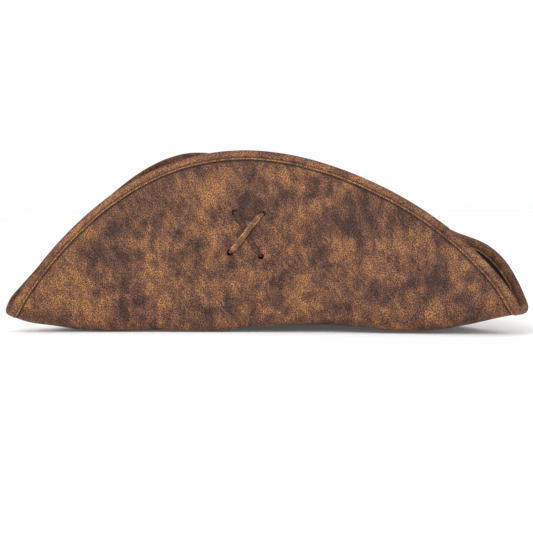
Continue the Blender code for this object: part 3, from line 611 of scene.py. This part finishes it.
# Clouds of the left flap: along the fold, up from it, half width, half height, darker below 0 or paler above.
BLOTCHES = (
    (-0.093, 0.051, 0.011, 0.012, 0.8),
    (-0.084, 0.037, 0.015, 0.014, 0.6),
    (-0.039, 0.067, 0.011, 0.012, 0.7),
    (-0.039, 0.111, 0.012, 0.009, 0.7),
    (-0.045, 0.124, 0.014, 0.008, 0.8),
    (0.033, 0.040, 0.012, 0.015, 1.1),
    (0.033, 0.135, 0.016, 0.009, 0.7),
    (0.066, 0.069, 0.014, 0.010, 0.8),
    (0.108, 0.073, 0.014, 0.010, 0.8),
    (0.095, 0.055, 0.013, 0.010, 0.7),
    (0.122, 0.020, 0.024, 0.011, 0.2),
    (-0.150, 0.020, 0.026, 0.011, 0.3),
    (-0.172, 0.030, 0.022, 0.018, 0.9),
    (0.069, 0.093, 0.015, 0.010, -1.2),
    (0.087, 0.111, 0.011, 0.008, -0.9),
    (0.113, 0.093, 0.014, 0.011, -0.9),
    (0.115, 0.110, 0.010, 0.008, -0.8),
    (0.047, 0.070, 0.010, 0.012, -0.8),
    (-0.021, 0.101, 0.010, 0.010, -0.8),
    (-0.003, 0.087, 0.010, 0.010, -0.6),
    (-0.048, 0.023, 0.019, 0.011, -0.5),
    (-0.111, 0.040, 0.011, 0.019, -0.5),
    (-0.147, 0.062, 0.011, 0.011, -0.5),
    (0.015, 0.027, 0.011, 0.012, -0.7),
    (0.051, 0.027, 0.011, 0.012, -0.7),
    (0.069, 0.015, 0.011, 0.008, -0.7),
    (0.105, 0.033, 0.015, 0.010, -0.6),
    (0.143, 0.040, 0.012, 0.014, -0.7),
)


def brim_tone(flat_x, flat_y):
    """Listed clouds on the left flap, and wide soft ones elsewhere."""
    along, up = place_past(SIDE_FOLD, 1, flat_x, flat_y)
    tone = np.zeros_like(flat_x)
    for centre_along, centre_up, width, height, change in BLOTCHES:
        spot = ((along - centre_along) / width) ** 2 + ((up - centre_up) / height) ** 2
        tone += change * np.exp(-spot)
    elsewhere = smooth_step((-0.01 - up) / 0.02)
    return tone * (1 - elsewhere) + 0.5 * soft_noise(flat_x, flat_y, 0.055, 21) * elsewhere


def brim_layer(name, near, far, material, slot_name, node):
    """One sheet of the brim, between two lifts."""
    angles = round_columns(BRIM_COLUMNS)
    columns = []
    for angle in angles:
        inner, edge = crown_radius(angle, CLOTH), edge_radius(angle)
        path = brim_middle(angle, np.linspace(inner, edge - CLOTH_EDGE_INSET, 200))
        even = inner + evenly_bent(path, BRIM_ROWS, 0.012, 0.25) * (edge - SHADOW_ROW_INSETS[0] - inner)
        columns.append(np.concatenate([even[:-1], edge - SHADOW_ROW_INSETS, [edge - CLOTH_EDGE_INSET]]))
    radii = np.stack(columns, 1)
    wide = np.broadcast_to(angles, radii.shape)
    flat = polar(wide, radii, 0.0)
    # Painted shadow: the 'seam' attribute is a narrow band just inside the binding, later darkened as the
    # lip's shadow.
    seam = bump(edge_radius(wide) - radii, SHADOW_LINE_INSET, 0.0008, 0.0010)
    attributes = {"flat": flat, "tone": brim_tone(flat[..., 0], flat[..., 1]), "seam": seam}
    front, back = brim_point(wide, radii, near), brim_point(wide, radii, far)
    return dressed(shell_object(name, front, back, material, attributes), slot_name, node)


def edge_columns(count):
    """Angles of even steps along the bound edge, and the length of the edge up to each."""
    angles = np.linspace(-pi, pi, 4001)
    steps = np.linalg.norm(np.diff(brim_middle(angles, edge_radius(angles)), axis=0), axis=1)
    lengths = np.concatenate([[0], np.cumsum(steps)])
    places = np.linspace(0, lengths[-1], count, endpoint=False)
    return np.interp(places, lengths, angles), places


# Section of the folded binding: distance in from the edge, height of its outer face and of its inner face.
BINDING_SECTION = [
    (0.00850, 0.00150, 0.00118),
    (0.00838, 0.00184, 0.00115),
    (0.00800, 0.00204, 0.00118),
    (0.00750, 0.00202, 0.00120),
    (0.00705, 0.00165, 0.00116),
    (0.00680, 0.00146, 0.00112),
    (0.00660, 0.00140, 0.00110),
    (0.00640, 0.00147, 0.00112),
    (0.00610, 0.00170, 0.00118),
    (0.00560, 0.00192, 0.00128),
    (0.00480, 0.00206, 0.00140),
    (0.00390, 0.00213, 0.00150),
    (0.00290, 0.00213, 0.00155),
    (0.00190, 0.00200, 0.00150),
]
BINDING_NOSE = [(0.00105, 0.00170), (0.00050, 0.00130), (0.00015, 0.00075), (0.0, 0.0)]


def binding_profile():
    """Outline (distance in, lift) of the binding: outer face from lip to lip, then inner face back."""
    outside = [(inset, -high) for inset, high, _ in BINDING_SECTION]
    outside += [(inset, -high) for inset, high in BINDING_NOSE]
    inside = [(inset, low) for inset, _, low in BINDING_SECTION] + [(0.00125, 0.00115), (0.00075, 0.00055)]
    outside += [(inset, -lift) for inset, lift in outside[-2::-1]]
    inside += [(inset, -lift) for inset, lift in inside[::-1]]
    return np.array(outside), np.array(inside)


def binding_ripple(places, inset):
    """Extra height of the binding: dents at the stitches, small wrinkles and wide soft waves."""
    stitches = 0.5 + 0.5 * np.cos(2 * pi * places / STITCH_PITCH)
    dents = -0.00008 * bump(inset, BINDING_STITCH_INSET, 0.0016, 0.0016) * stitches
    wrinkled = smooth_step(0.5 + soft_noise(places, 0 * places, 0.055, 32))
    wrinkles = 0.00016 * soft_noise(places + 0.35 * inset, inset * 0.6, 0.0034, 31) * wrinkled
    return dents + wrinkles + 0.00018 * soft_noise(places, inset, 0.019, 33)


def brim_binding(material):
    """The strip folded over the edge, its face rippled and its lips wandering a little."""
    angles, places = edge_columns(BINDING_COLUMNS)
    outside, inside = binding_profile()
    section = np.concatenate([outside, inside])
    inset, lift = section[:, :1], section[:, 1:]
    thick = (np.arange(len(section)) < len(outside))[:, None]
    swell = binding_ripple(places[None], inset + 0 * places[None]) * thick
    wander = 0.00022 * soft_noise(places[None], 0 * places[None], 0.022, 34) * (inset > 0.006)
    full = lift * (1 + swell / 0.0018)
    wide = np.broadcast_to(angles, full.shape)
    points = brim_point(wide, edge_radius(wide) - inset - wander, full)
    flat = np.stack(np.broadcast_arrays(places[None], inset + np.sign(lift) * 0.02, 0.0 * full), -1)
    # Painted highlight and shade: the tone is raised on the binding's high parts and on its lip, where light
    # catches them, and lowered in the stitch furrow and on the low parts.
    tone = smooth_step((np.abs(lift) + swell - 0.00150) / 0.0006) - 0.35
    tone = tone + 1.1 * bump(inset, 0.0079, 0.0006, 0.0009)
    made = tube_object("suede_binding", points, material, {"flat": flat, "tone": tone}, sharp=60.0)
    return dressed(made, "binding_suede", "brim_binding")


def stitch_mesh(name, starts, ends, ups, radius, material):
    """A row of separate stitches, each an arched thread whose ends dip into the cloth."""
    stations, around, count = 7, 6, len(starts)
    shares = np.linspace(0, 1, stations)
    arch = np.sin(pi * shares) ** 0.6
    across = unit(np.cross(ups, unit(ends - starts)))
    turns = np.linspace(0, 2 * pi, around, endpoint=False)
    centre = starts[:, None] + (ends - starts)[:, None] * shares[:, None]
    centre = centre + ups[:, None] * (arch * radius * 1.3 - radius * 0.9)[:, None]
    ring = np.cos(turns)[:, None] * across[:, None, None] + np.sin(turns)[:, None] * ups[:, None, None]
    thin = radius * (0.55 + 0.45 * arch)
    points = (centre[:, :, None] + thin[:, None, None] * ring).reshape(count, -1, 3)
    first = np.arange(around)
    caps = [cap(first)[:, ::-1], cap(first + (stations - 1) * around)]
    single = outward_facing(points[0], np.concatenate([quads(stations, around, False, True), *caps]))
    faces = (single[None] + (np.arange(count) * stations * around)[:, None, None]).reshape(-1, 4)
    lengths = np.linalg.norm(ends - starts, axis=1)[:, None]
    along = lengths * shares + (np.arange(count) * STITCH_PITCH)[:, None]
    flat = np.stack(np.broadcast_arrays(along[:, :, None], turns * radius, 0.0 * turns), -1)
    return mesh_object(name, points.reshape(-1, 3), faces, material, {"flat": flat}, 80.0)


def binding_stitches(name, side, material, node):
    """The stitches of one face of the binding, outside for side -1 and inside for 1."""
    angles, _ = edge_columns(round(EDGE_LENGTH / STITCH_PITCH) * POINTS_PER_STITCH)
    radii = edge_radius(angles) - BINDING_STITCH_INSET
    line = brim_point(angles, radii, side * STITCH_HEIGHT)
    ups = unit(brim_point(angles, radii, side * (STITCH_HEIGHT + 0.001)) - line)
    starts, middles, ends = (np.arange(place, len(line), POINTS_PER_STITCH) for place in (1, 5, 9))
    made = stitch_mesh(name, line[starts], line[ends], ups[middles], 0.00021, material)
    return dressed(made, "sewing_thread", node)


def swept(name, line, radius, material):
    """A round wire with two ends along a line of points."""
    ways = unit(np.gradient(line, axis=0))
    side = unit(np.cross(ways, UP))
    turns = np.linspace(0, 2 * pi, 12, endpoint=False)[:, None, None]
    rings = line[None] + radius * (np.cos(turns) * side[None] + np.sin(turns) * np.cross(side, ways)[None])
    return tube_object(name, rings, material, {"flat": np.zeros_like(rings)}, False)


def rim_wire(material):
    """The wire, with its small gap at the back."""
    end = pi - WIRE_END_ANGLE
    angles = np.linspace(-end, end, 900)
    line = brim_point(angles, edge_radius(angles) - WIRE_INSET)
    return dressed(swept("steel_wire", line, WIRE_RADIUS, material), "wire_steel", "brim_wire")


def rim_wire_sleeve(material):
    """The sleeve over the wire's gap."""
    half = SLEEVE_LENGTH / 2 / edge_radius(pi)
    angles = np.linspace(pi - half, pi + half, 24)
    line = brim_point(angles, edge_radius(angles) - WIRE_INSET)
    return dressed(swept("steel_sleeve", line, SLEEVE_RADIUS, material), "wire_steel", "wire_joiner")


# --- Crown ---


def crown_height(share):
    """Height and drawing in of the crown: shares 0 to 1 go up the wall, 1 to 2 over the shoulder."""
    wall, turn = np.minimum(share, 1.0), np.maximum(share - 1.0, 0.0) * pi / 2
    height = CROWN_BASE + wall * (CROWN_WALL_HEIGHT - CROWN_BASE) + SHOULDER_RISE * np.sin(turn)
    inset = CROWN_WALL_LEAN * wall + SHOULDER_INSET * (1 - np.cos(turn))
    return height, inset


def crown_lumps(angle, share):
    """Soft dents of the crown, none at its base, its middle or its front and back seams."""
    around, up = angle * 0.095 + 3.0, share * CROWN_WALL_HEIGHT
    lumps = 0.0009 * soft_noise(around, up, 0.042, 41) + 0.0003 * soft_noise(around, up, 0.014, 42)
    closes = smooth_step((pi - np.abs(angle)) / 0.25) * smooth_step(np.abs(angle) / 0.25)
    return lumps * smooth_step(share / 0.35) * smooth_step((2.0 - share) / 0.3) * closes


def crown_point(angle, share, inset=0.0):
    height, drawn_in = crown_height(share)
    return polar(angle, crown_radius(angle, drawn_in + inset - crown_lumps(angle, share)), height) + OFFSET


def crown_flat(angle, share):
    """Cloth coordinates on the crown, set apart from those of the brim."""
    up = CROWN_WALL_HEIGHT * np.minimum(share, 1.0) + SHOULDER_LENGTH * np.maximum(share - 1.0, 0.0)
    return np.stack(np.broadcast_arrays(angle * CROWN_MEAN_RADIUS + 1.0, up + 0.5, 0.0 * angle), -1)


def crown_tone(angle, share):
    return 0.55 * soft_noise(angle * CROWN_MEAN_RADIUS + 2.0, share * 0.066, 0.05, 22)


def crown_shell(name, angles, shares, near, far, material, closed=True):
    """A sheet of the crown between two insets; near and far may vary over it."""
    wide, tall = np.meshgrid(angles, shares)
    front, back = crown_point(wide, tall, near), crown_point(wide, tall, far)
    attributes = {"flat": crown_flat(wide, tall), "tone": crown_tone(wide, tall)}
    return shell_object(name, front, back, material, attributes, closed)


def seam_rolls(angles, shares):
    """How far a side panel is drawn in at its seams: front and back, and along the top."""
    from_seam = np.minimum(np.abs(angles), pi - np.abs(angles)) * 0.1
    from_top = (SIDE_TOP_SHARE - shares) * SHOULDER_LENGTH
    drawn_in = 0.0009 * (1 - smooth_step(from_seam / 0.0022)) + 0.0010 * (1 - smooth_step(from_top / 0.0022))
    puffed = bump(from_seam, 0.0040, 0.0020, 0.0020) + bump(from_top, 0.0038, 0.0020, 0.0020)
    return drawn_in - 0.0004 * puffed


def crown_side(name, side, material, node):
    """One side panel, with its columns closer together at the front and back seams."""
    seam = SEAM_GAP / 2 / CROWN_HALF_LENGTH
    ease = np.linspace(0, 1, CROWN_COLUMNS // 2)
    ease = ease - 0.05 / pi * np.sin(2 * pi * ease)
    angles = side * (seam + (pi - 2 * seam) * ease)
    rolls = seam_rolls(*np.meshgrid(angles, SIDE_SHARES))
    made = crown_shell(name, angles, SIDE_SHARES, rolls, rolls + CLOTH, material, False)
    return dressed(made, "distressed_suede", node)


def crown_core(material):
    """The stiff layer behind both side panels, in one piece."""
    rolls = CLOTH + GAP + np.maximum(seam_rolls(*np.meshgrid(ALL_ROUND, SIDE_SHARES)), 0.0)
    made = crown_shell("crown_core", ALL_ROUND, SIDE_SHARES, rolls, rolls + STIFFENER, material)
    return dressed(made, "stiffener_felt", "crown_side_stiffener")


def towards_middle(ring, count, drop):
    """Smaller and smaller rings up to a middle that sags by the drop, and their shares of the full size."""
    shares = np.linspace(1, 0, count)[1:-1, None]
    centre = ring.mean(0)
    inner = centre + (ring - centre) * shares[..., None]
    inner[..., 2] -= drop * np.cos(pi / 2 * shares) ** 2
    return inner, shares


def crown_tip_sheet(inset, first_share):
    """Points of a top panel from its border to a small ring at its middle."""
    border = crown_point(ALL_ROUND, np.linspace(first_share, 2.0, TIP_BORDER_ROWS)[:, None], inset)
    inner, _ = towards_middle(border[-1], 30, 0.0012)
    inner[..., 2] += 0.0002 * soft_noise(inner[..., 0], inner[..., 1], 0.03, 43)
    return np.concatenate([border, inner])


def tip_object(name, front, back, material, slot_name, node):
    """A disc-like sheet: both faces closed at their middles, joined round the border."""
    rings = np.concatenate([front[::-1], back]).transpose(1, 0, 2)
    flat = (rings - OFFSET) * [1.0, 1.0, 0.0] + [1.5, 0.0, 0.0]
    attributes = {"flat": flat, "tone": 0.55 * soft_noise(flat[..., 0], flat[..., 1], 0.05, 23)}
    return dressed(tube_object(name, rings, material, attributes, False), slot_name, node)


def crown_top(suede, core):
    """The top panel, whose underside is drawn in at the border, and its stiff layer."""
    top = crown_tip_sheet(0.0, TIP_FIRST_SHARE)
    under = top - UP * CLOTH
    rows = slice(0, TIP_BORDER_ROWS)
    under[rows] = crown_tip_sheet(CLOTH, TIP_FIRST_SHARE)[rows]
    thinnest = CLOTH * np.linspace(0.3, 1, TIP_BORDER_ROWS)[:, None]
    under[rows, :, 2] = np.minimum(under[rows, :, 2], top[rows, :, 2] - thinnest)
    panel = tip_object("suede_crown_top", top, under, suede, "distressed_suede", "crown_tip")
    stiff = crown_tip_sheet(CLOTH + GAP, TIP_CORE_FIRST_SHARE) - UP * (CLOTH + GAP)
    stiff_under = stiff - UP * STIFFENER
    backing = tip_object("crown_tip_core", stiff, stiff_under, core, "stiffener_felt", "crown_tip_stiffener")
    return panel, backing


# --- Laces ---


class Hole:
    """One lace hole: its place on the flap, its axis towards the crown, and its depth to the lace inside."""

    def __init__(self, corner):
        self.place = np.array(LACE_CENTRE) + corner
        angle, radius = flap_place(*self.place)
        self.middle, deeper = (brim_point(angle, radius, lift) for lift in (0.0, 0.001))
        self.way = unit(deeper - self.middle)
        self.depth = self.depth_to_crown() + LACE_INSIDE_CLEARANCE + LACE_THICKNESS / 2

    def depth_to_crown(self):
        """Distance along the axis to the inside of the crown's stiff layer, found in small steps."""
        inset = CLOTH + GAP + STIFFENER
        for depth in np.arange(0.002, 0.040, 0.0001):
            x, y, z = self.middle + self.way * depth - OFFSET
            turn = max(z - CROWN_WALL_HEIGHT, 0.0) / SHOULDER_RISE
            lean = CROWN_WALL_LEAN * min(z / CROWN_WALL_HEIGHT, 1.0)
            drawn_in = lean + SHOULDER_INSET * (1 - (1 - turn**2) ** 0.5)
            if np.hypot(x, y) < crown_radius(np.arctan2(x, -y), drawn_in + inset):
                return depth
        raise ValueError("a lace hole misses the crown")

    def inside(self):
        return self.middle + self.way * self.depth


def rotated(vector, axis, angle):
    turned = vector * cos(angle) + np.cross(axis, vector) * sin(angle)
    return turned + axis * np.dot(axis, vector) * (1 - cos(angle))


# Distances from a hole at which a strand has points, closer together where it opens out.
ENTRY_STOPS = [0.0003, 0.0007, 0.0012, 0.0019, 0.0028, 0.0040, 0.0055, 0.0070]


def sunk(from_hole):
    """How far a strand dips towards the cloth at its hole."""
    return 0.0006 * (1 - smooth_step(from_hole / 0.0022))


def outside_run(start, end, over):
    """The strand on the flap's outside between two holes, as (point, width direction, openness)."""
    low = OUTER_FACE + 0.00012 + LACE_THICKNESS / 2
    crossing = (LACE_THICKNESS + 0.0002) * over
    length = np.linalg.norm(end.place - start.place)
    middle = list(np.linspace(0.0085, length - 0.0085, 21))
    stops = ENTRY_STOPS + middle + [length - stop for stop in reversed(ENTRY_STOPS)]
    sideways = np.array([end.place[1] - start.place[1], start.place[0] - end.place[0]]) / length
    run = []
    for stop in stops:
        share = stop / length
        bow = 0.0006 * sin(2 * pi * share) * (1 if over else -1)
        to_end = min(stop, length - stop)
        puffed = 0.0005 * bump(to_end, 0.0045, 0.0022, 0.0040)
        lift = low + crossing * smooth_step((to_end - 0.004) / 0.010) + puffed - sunk(to_end)
        place = start.place + (end.place - start.place) * share + sideways * bow
        run.append((brim_point(*flap_place(*place), -lift), smooth_step(to_end / 0.0060)))
    axis = unit(run[-1][0] - run[0][0])
    across = unit(np.cross(start.way, axis))
    lean = 0.16 if over else -0.12
    return [(point, rotated(across, axis, lean * sin(3 * pi * i / len(run))), openness)
            for i, (point, openness) in enumerate(run)]


def inside_run(start, end_point):
    """Half of the way from a hole to another point inside the crown."""
    begin = start.inside()
    length = np.linalg.norm(end_point - begin)
    way = unit(end_point - begin)
    across = unit(np.cross(start.way, way))
    stops = [stop for stop in ENTRY_STOPS if stop < 0.45 * length] + [length / 2]
    return [(begin + way * stop - start.way * sunk(stop), across, smooth_step(stop / 0.0060))
            for stop in stops]


def tail(hole):
    """The end of the lace that hangs down inside the crown."""
    end = hole.inside() - UP * LACE_TAIL
    run = inside_run(hole, end)
    return run + [(end, run[-1][1], 1.0)]


def passage(hole, outer_across, inner_across):
    """The way in through a hole, turning from one width direction to the other."""
    if np.dot(outer_across, inner_across) < 0:
        inner_across = -inner_across
    twist = np.dot(np.cross(outer_across, inner_across), hole.way)
    turn = np.arctan2(twist, np.dot(outer_across, inner_across))
    first, last = -OUTER_FACE + 0.0002, hole.depth - 0.0014
    return [(hole.middle + hole.way * (first + (last - first) * share),
             rotated(outer_across, hole.way, turn * share), 0.0) for share in np.linspace(0, 1, 8)]


def lace_route():
    """The lace from tail to tail, and the index at which its under strand starts."""
    low_front, high_back, high_front, low_back = (Hole(corner) for corner in LACE_CORNERS)
    first_tail, last_tail = tail(low_front), tail(low_back)
    over = outside_run(low_front, high_back, True)
    under = outside_run(high_front, low_back, False)
    link_out = inside_run(high_back, high_front.inside())
    link_back = inside_run(high_front, high_back.inside())
    route = first_tail[::-1]
    route += passage(low_front, over[0][1], first_tail[0][1])[::-1]
    route += over
    route += passage(high_back, over[-1][1], link_out[0][1])
    route += link_out + link_back[-2::-1]
    under_starts = len(route)
    route += passage(high_front, under[0][1], link_back[0][1])[::-1]
    route += under
    route += passage(low_back, under[-1][1], last_tail[0][1])
    return route + last_tail, under_starts


def lace(name, side, material, node):
    """The strip along its route: flat with rounded edges, gathered narrow where it goes through a hole."""
    route, under_starts = lace_route()
    points = np.array([point for point, _, _ in route])
    ways = unit(np.gradient(points, axis=0))
    turns = np.linspace(0, 2 * pi, 20, endpoint=False) + pi / 2
    wide, tall = (np.sign(wave) * np.abs(wave) ** power
                  for wave, power in ((np.cos(turns), 0.55), (np.sin(turns), 0.75)))
    rings, flats = [], []
    across_before, travelled = route[0][1], 0.0
    for index, ((point, across, openness), way) in enumerate(zip(route, ways)):
        across = across if np.dot(across, across_before) > 0 else -across
        across = across_before = unit(across - way * np.dot(across, way))
        travelled += np.linalg.norm(point - points[max(index - 1, 0)])
        width = LACE_NECK_WIDTH + (LACE_WIDTH - LACE_NECK_WIDTH) * openness
        width *= 1 + 0.05 * float(soft_noise(np.array(travelled), np.array(0.0), 0.006, 51))
        thickness = LACE_NECK_THICKNESS + (LACE_THICKNESS - LACE_NECK_THICKNESS) * openness
        through = np.cross(way, across) * thickness / 2
        rings.append(point + wide[:, None] * across * width / 2 + tall[:, None] * through)
        flats.append(np.stack([travelled + 0 * turns, wide * width / 2 + side, 0 * turns], 1))
    rings, flats = (np.array(stations).transpose(1, 0, 2) for stations in (rings, flats))
    rings[..., 0] *= side
    from_middle = np.abs(wide)[:, None] + np.zeros(len(route))
    # The under strand is flagged so that the lace's material paints shade over it.
    under = (np.arange(len(route)) >= under_starts) + 0.0 * from_middle
    attributes = {"flat": flats, "tone": from_middle, "seam": under}
    return dressed(tube_object(name, rings, material, attributes, False, 70.0), "lace_suede", node)


def lace_hole_cutter(side):
    """Four rods along the hole axes, from outside the flap to inside the crown."""
    count = 24
    turns = np.linspace(0, 2 * pi, count, endpoint=False)[:, None]
    first = np.arange(count)
    points, faces = [], []
    for hole in map(Hole, LACE_CORNERS):
        one = unit(np.cross(hole.way, UP))
        ring = LACE_HOLE_RADIUS * (np.cos(turns) * one + np.sin(turns) * np.cross(hole.way, one))
        for depth in (-0.004, hole.depth + 0.0016):
            points += list((hole.middle + hole.way * depth + ring) * [side, 1, 1])
        base = len(points) - 2 * count
        sides = base + quads(2, count, False, True)
        ends = [base + first[::-1], base + count + first]
        faces += [list(face)[::side] for face in [*sides, *ends]]
    mesh = bpy.data.meshes.new("lace_holes")
    mesh.from_pydata(np.array(points).tolist(), [], [[int(index) for index in face] for face in faces])
    cutter = bpy.data.objects.new("lace_holes", mesh)
    bpy.context.scene.collection.objects.link(cutter)
    return cutter


# --- Lining and sweatband ---


def lining_sheet(shares):
    """The lining lies on the wall at the sweatband and hangs free above it, in soft upright folds."""
    wide, tall = np.meshgrid(ALL_ROUND, shares)
    free = smooth_step((crown_height(tall)[0] - SWEATBAND_HEIGHT - 0.003) / 0.010)
    folds = 0.5 + 0.5 * np.sin(wide * 23 + 2.0 * np.sin(wide * 3)) * np.cos(wide * 7 + tall * 1.5)
    folds = LINING_FOLDS * folds * smooth_step((2.0 - tall) / 0.5)
    points = crown_point(wide, tall, LINING_INSET + (LACE_ROOM + folds) * free)
    points[..., 2] -= (LINING_INSET + LACE_ROOM) * np.maximum(tall - 1.0, 0.0)
    return points


def lining(material):
    """The lining's wall and its top."""
    shares = np.concatenate([np.linspace(0, 1, 22), np.linspace(1, 1.6, 16)[1:]])
    outer = lining_sheet(shares)
    inner = outer + unit(OFFSET + UP * 0.04 - outer) * LINING_CLOTH
    flat = crown_flat(*np.meshgrid(ALL_ROUND, shares))
    made = shell_object("lining_wall", outer, inner, material, {"flat": flat})
    wall = dressed(made, "lining_cloth", "lining_side")
    top = crown_tip_lining(1.62)
    under = top - UP * LINING_CLOTH
    return wall, tip_object("lining_top", top, under, material, "lining_cloth", "lining_tip")


def crown_tip_lining(first_share):
    """Points of the lining's top, from its border to its middle."""
    border = lining_sheet(np.linspace(first_share, 2.0, 10))
    inner, shares = towards_middle(border[-1], 26, 0.004)
    lumps = 0.0008 * soft_noise(inner[..., 0], inner[..., 1], 0.016, 61)
    inner[..., 2] += lumps * smooth_step(4 * (1 - shares))
    return np.concatenate([border, inner])


def sweatband(material, thread):
    """The band round the head opening, and the row of stitches that holds it."""
    joint = SEAM_GAP / CROWN_HALF_LENGTH
    angles = np.linspace(-pi + joint, pi - joint, 361)
    heights = np.concatenate([[-OUTER_FACE, -0.0002], np.linspace(0.001, SWEATBAND_HEIGHT, 18)])
    wide, tall = np.meshgrid(angles, heights)
    lean = CROWN_WALL_LEAN * np.maximum(tall, 0) / CROWN_WALL_HEIGHT
    soft = 0.0003 * soft_noise(wide * 0.1 + 2, tall, 0.03, 62) * smooth_step(tall / 0.01)
    inset = SWEATBAND_INSET + lean + soft + 0.0003
    thickness = SWEATBAND_CLOTH + 0.00022 * bump(tall, SWEATBAND_HEIGHT - 0.0012, 0.0012, 0.004)
    front, back = (polar(wide, crown_radius(wide, inset + extra), tall) + OFFSET
                   for extra in (0.0, thickness))
    flat = np.stack([wide * CROWN_MEAN_RADIUS, tall, 0 * tall], -1)
    strip = shell_object("sweatband_strip", front, back, material, {"flat": flat}, False)
    dressed(strip, "sweatband_cloth", "sweatband")
    turns, step = np.linspace(0, 2 * pi, 170, endpoint=False, retstep=True)
    inset = SWEATBAND_INSET + SWEATBAND_CLOTH + 0.00045
    starts, ends = (polar(turn, crown_radius(turn, inset), 0.003) + OFFSET
                    for turn in (turns, turns + step * STITCH_SHARE))
    stitches = stitch_mesh("sweatband_stitches", starts, ends, -polar(turns, 1.0, 0.0), STITCH_RADIUS, thread)
    return strip, dressed(stitches, "sewing_thread", "sweatband_thread")


# --- The hat ---


def build_hat():
    suede = distressed_suede("distressed suede")
    binding_suede = distressed_suede("binding suede", tone_gain=0.17, cloud_gain=0.7, brightness=1.05)
    dark_cloth = reverse_cloth("dark reverse cloth")
    core = felt("stiffener felt")
    steel = brushed_wire("wire steel")
    thread = twisted_thread("sewing thread", (0.045, 0.024, 0.018), (0.105, 0.056, 0.036))
    tan_lace = lace_suede("lace suede", (0.080, 0.031, 0.016), (0.150, 0.059, 0.025), (0.400, 0.210, 0.100))
    satin = plain_weave("lining cloth", (0.006, 0.006, 0.006), (0.020, 0.018, 0.017), 2200.0, 0.42, 0.2)
    band = plain_weave("sweatband cloth", (0.010, 0.008, 0.007), (0.032, 0.026, 0.022), 1100.0, 0.8, 0.2)
    outer = brim_layer("suede_brim", -OUTER_FACE, -INNER_FACE, suede, "distressed_suede", "brim_outer_cloth")
    inner = brim_layer(
        "reverse_brim", OUTER_FACE, INNER_FACE, dark_cloth, "dark_reverse_cloth", "brim_inner_cloth"
    )
    stiff = brim_layer("brim_core", -HALF_CORE, HALF_CORE, core, "stiffener_felt", "brim_stiffener")
    left = crown_side("suede_crown_left", 1, suede, "crown_side_left")
    right = crown_side("suede_crown_right", -1, suede, "crown_side_right")
    backing = crown_core(core)
    cutters = [lace_hole_cutter(1), lace_hole_cutter(-1)]
    for piece in (outer, inner, stiff, left, right, backing):
        punch(piece, cutters)
    for cutter in cutters:
        bpy.data.objects.remove(cutter)
    binding = brim_binding(binding_suede)
    binding_stitches("binding_stitches_outer", -1, thread, "binding_thread_outer")
    binding_stitches("binding_stitches_inner", 1, thread, "binding_thread_inner")
    rim_wire(steel)
    rim_wire_sleeve(steel)
    top, tip_core = crown_top(suede, core)
    lace("lace_strip_left", 1, tan_lace, "lace_left")
    lace("lace_strip_right", -1, tan_lace, "lace_right")
    lining_wall, lining_top = lining(satin)
    head_band, band_stitches = sweatband(band, thread)


def studio():
    """Pale floor, plain white surroundings."""
    scene = bpy.context.scene
    scene.view_settings.view_transform = "Standard"
    scene.world = bpy.data.worlds.new("studio")
    scene.world.use_nodes = True
    background = scene.world.node_tree.nodes["Background"]
    background.inputs["Color"].default_value = (1.0, 1.0, 1.0, 1.0)
    background.inputs["Strength"].default_value = 1.0
    mesh = bpy.data.meshes.new("floor")
    corners = [(-FLOOR_HALF, -FLOOR_HALF, 0), (FLOOR_HALF, -FLOOR_HALF, 0)]
    corners += [(FLOOR_HALF, FLOOR_HALF, 0), (-FLOOR_HALF, FLOOR_HALF, 0)]
    mesh.from_pydata(corners, [], [(0, 1, 2, 3)])
    floor = bpy.data.objects.new("floor", mesh)
    scene.collection.objects.link(floor)
    paint = Surface("floor paint", 0.9, specular=0.1)
    place = paint.add("TexCoord", {}).outputs["Object"]
    shade = paint.ramp(paint.noise(place, 3.0), (0.3, 0.90), (0.7, 0.93))
    paint.shader.inputs["Emission Color"].default_value = (1.0, 1.0, 1.0, 1.0)
    paint.shader.inputs["Emission Strength"].default_value = 0.07
    mesh.materials.append(paint.finish(shade))


CAMERA_AZIMUTH, CAMERA_ELEVATION, CAMERA_DISTANCE = 64.49, 2.55, 1.3468
CAMERA_TARGET = Vector(OFFSET + UP * 0.06)


def camera_frame():
    """Directions from the target back to the camera, and to the camera's right."""
    azimuth, elevation = radians(CAMERA_AZIMUTH), radians(CAMERA_ELEVATION)
    back = Vector((sin(azimuth) * cos(elevation), -cos(azimuth) * cos(elevation), sin(elevation)))
    return back, Vector((cos(azimuth), sin(azimuth), 0.0))


def aimed(name, data, place):
    """A camera or a light at a place, turned to the target."""
    made = bpy.data.objects.new(name, data)
    made.location = place
    made.rotation_mode = "QUATERNION"
    made.rotation_quaternion = (place - CAMERA_TARGET).to_track_quat("Z", "Y")
    bpy.context.scene.collection.objects.link(made)
    return made


def camera():
    data = bpy.data.cameras.new("camera")
    data.sensor_width = 36.0
    data.lens = 100.14
    data.shift_x, data.shift_y = -0.0064, -0.034
    data.clip_start, data.clip_end = 0.01, 50.0
    back, _ = camera_frame()
    bpy.context.scene.camera = aimed("camera", data, CAMERA_TARGET + back * CAMERA_DISTANCE)


def soft_light(name, to_camera, to_right, up, size, power):
    """A round lamp placed from the target by distances towards the camera, to its right and up."""
    back, right = camera_frame()
    level = Vector((back.x, back.y, 0.0)).normalized()
    data = bpy.data.lights.new(name, "AREA")
    data.shape = "DISK"
    data.size = size
    data.energy = power
    aimed(name, data, CAMERA_TARGET + level * to_camera + right * to_right + Vector((0, 0, up)))


build_hat()
studio()
camera()
soft_light("key", 1.3, -0.7, 1.5, 1.2, 14.0)
soft_light("fill", 1.2, 1.3, 0.7, 1.2, 5.0)
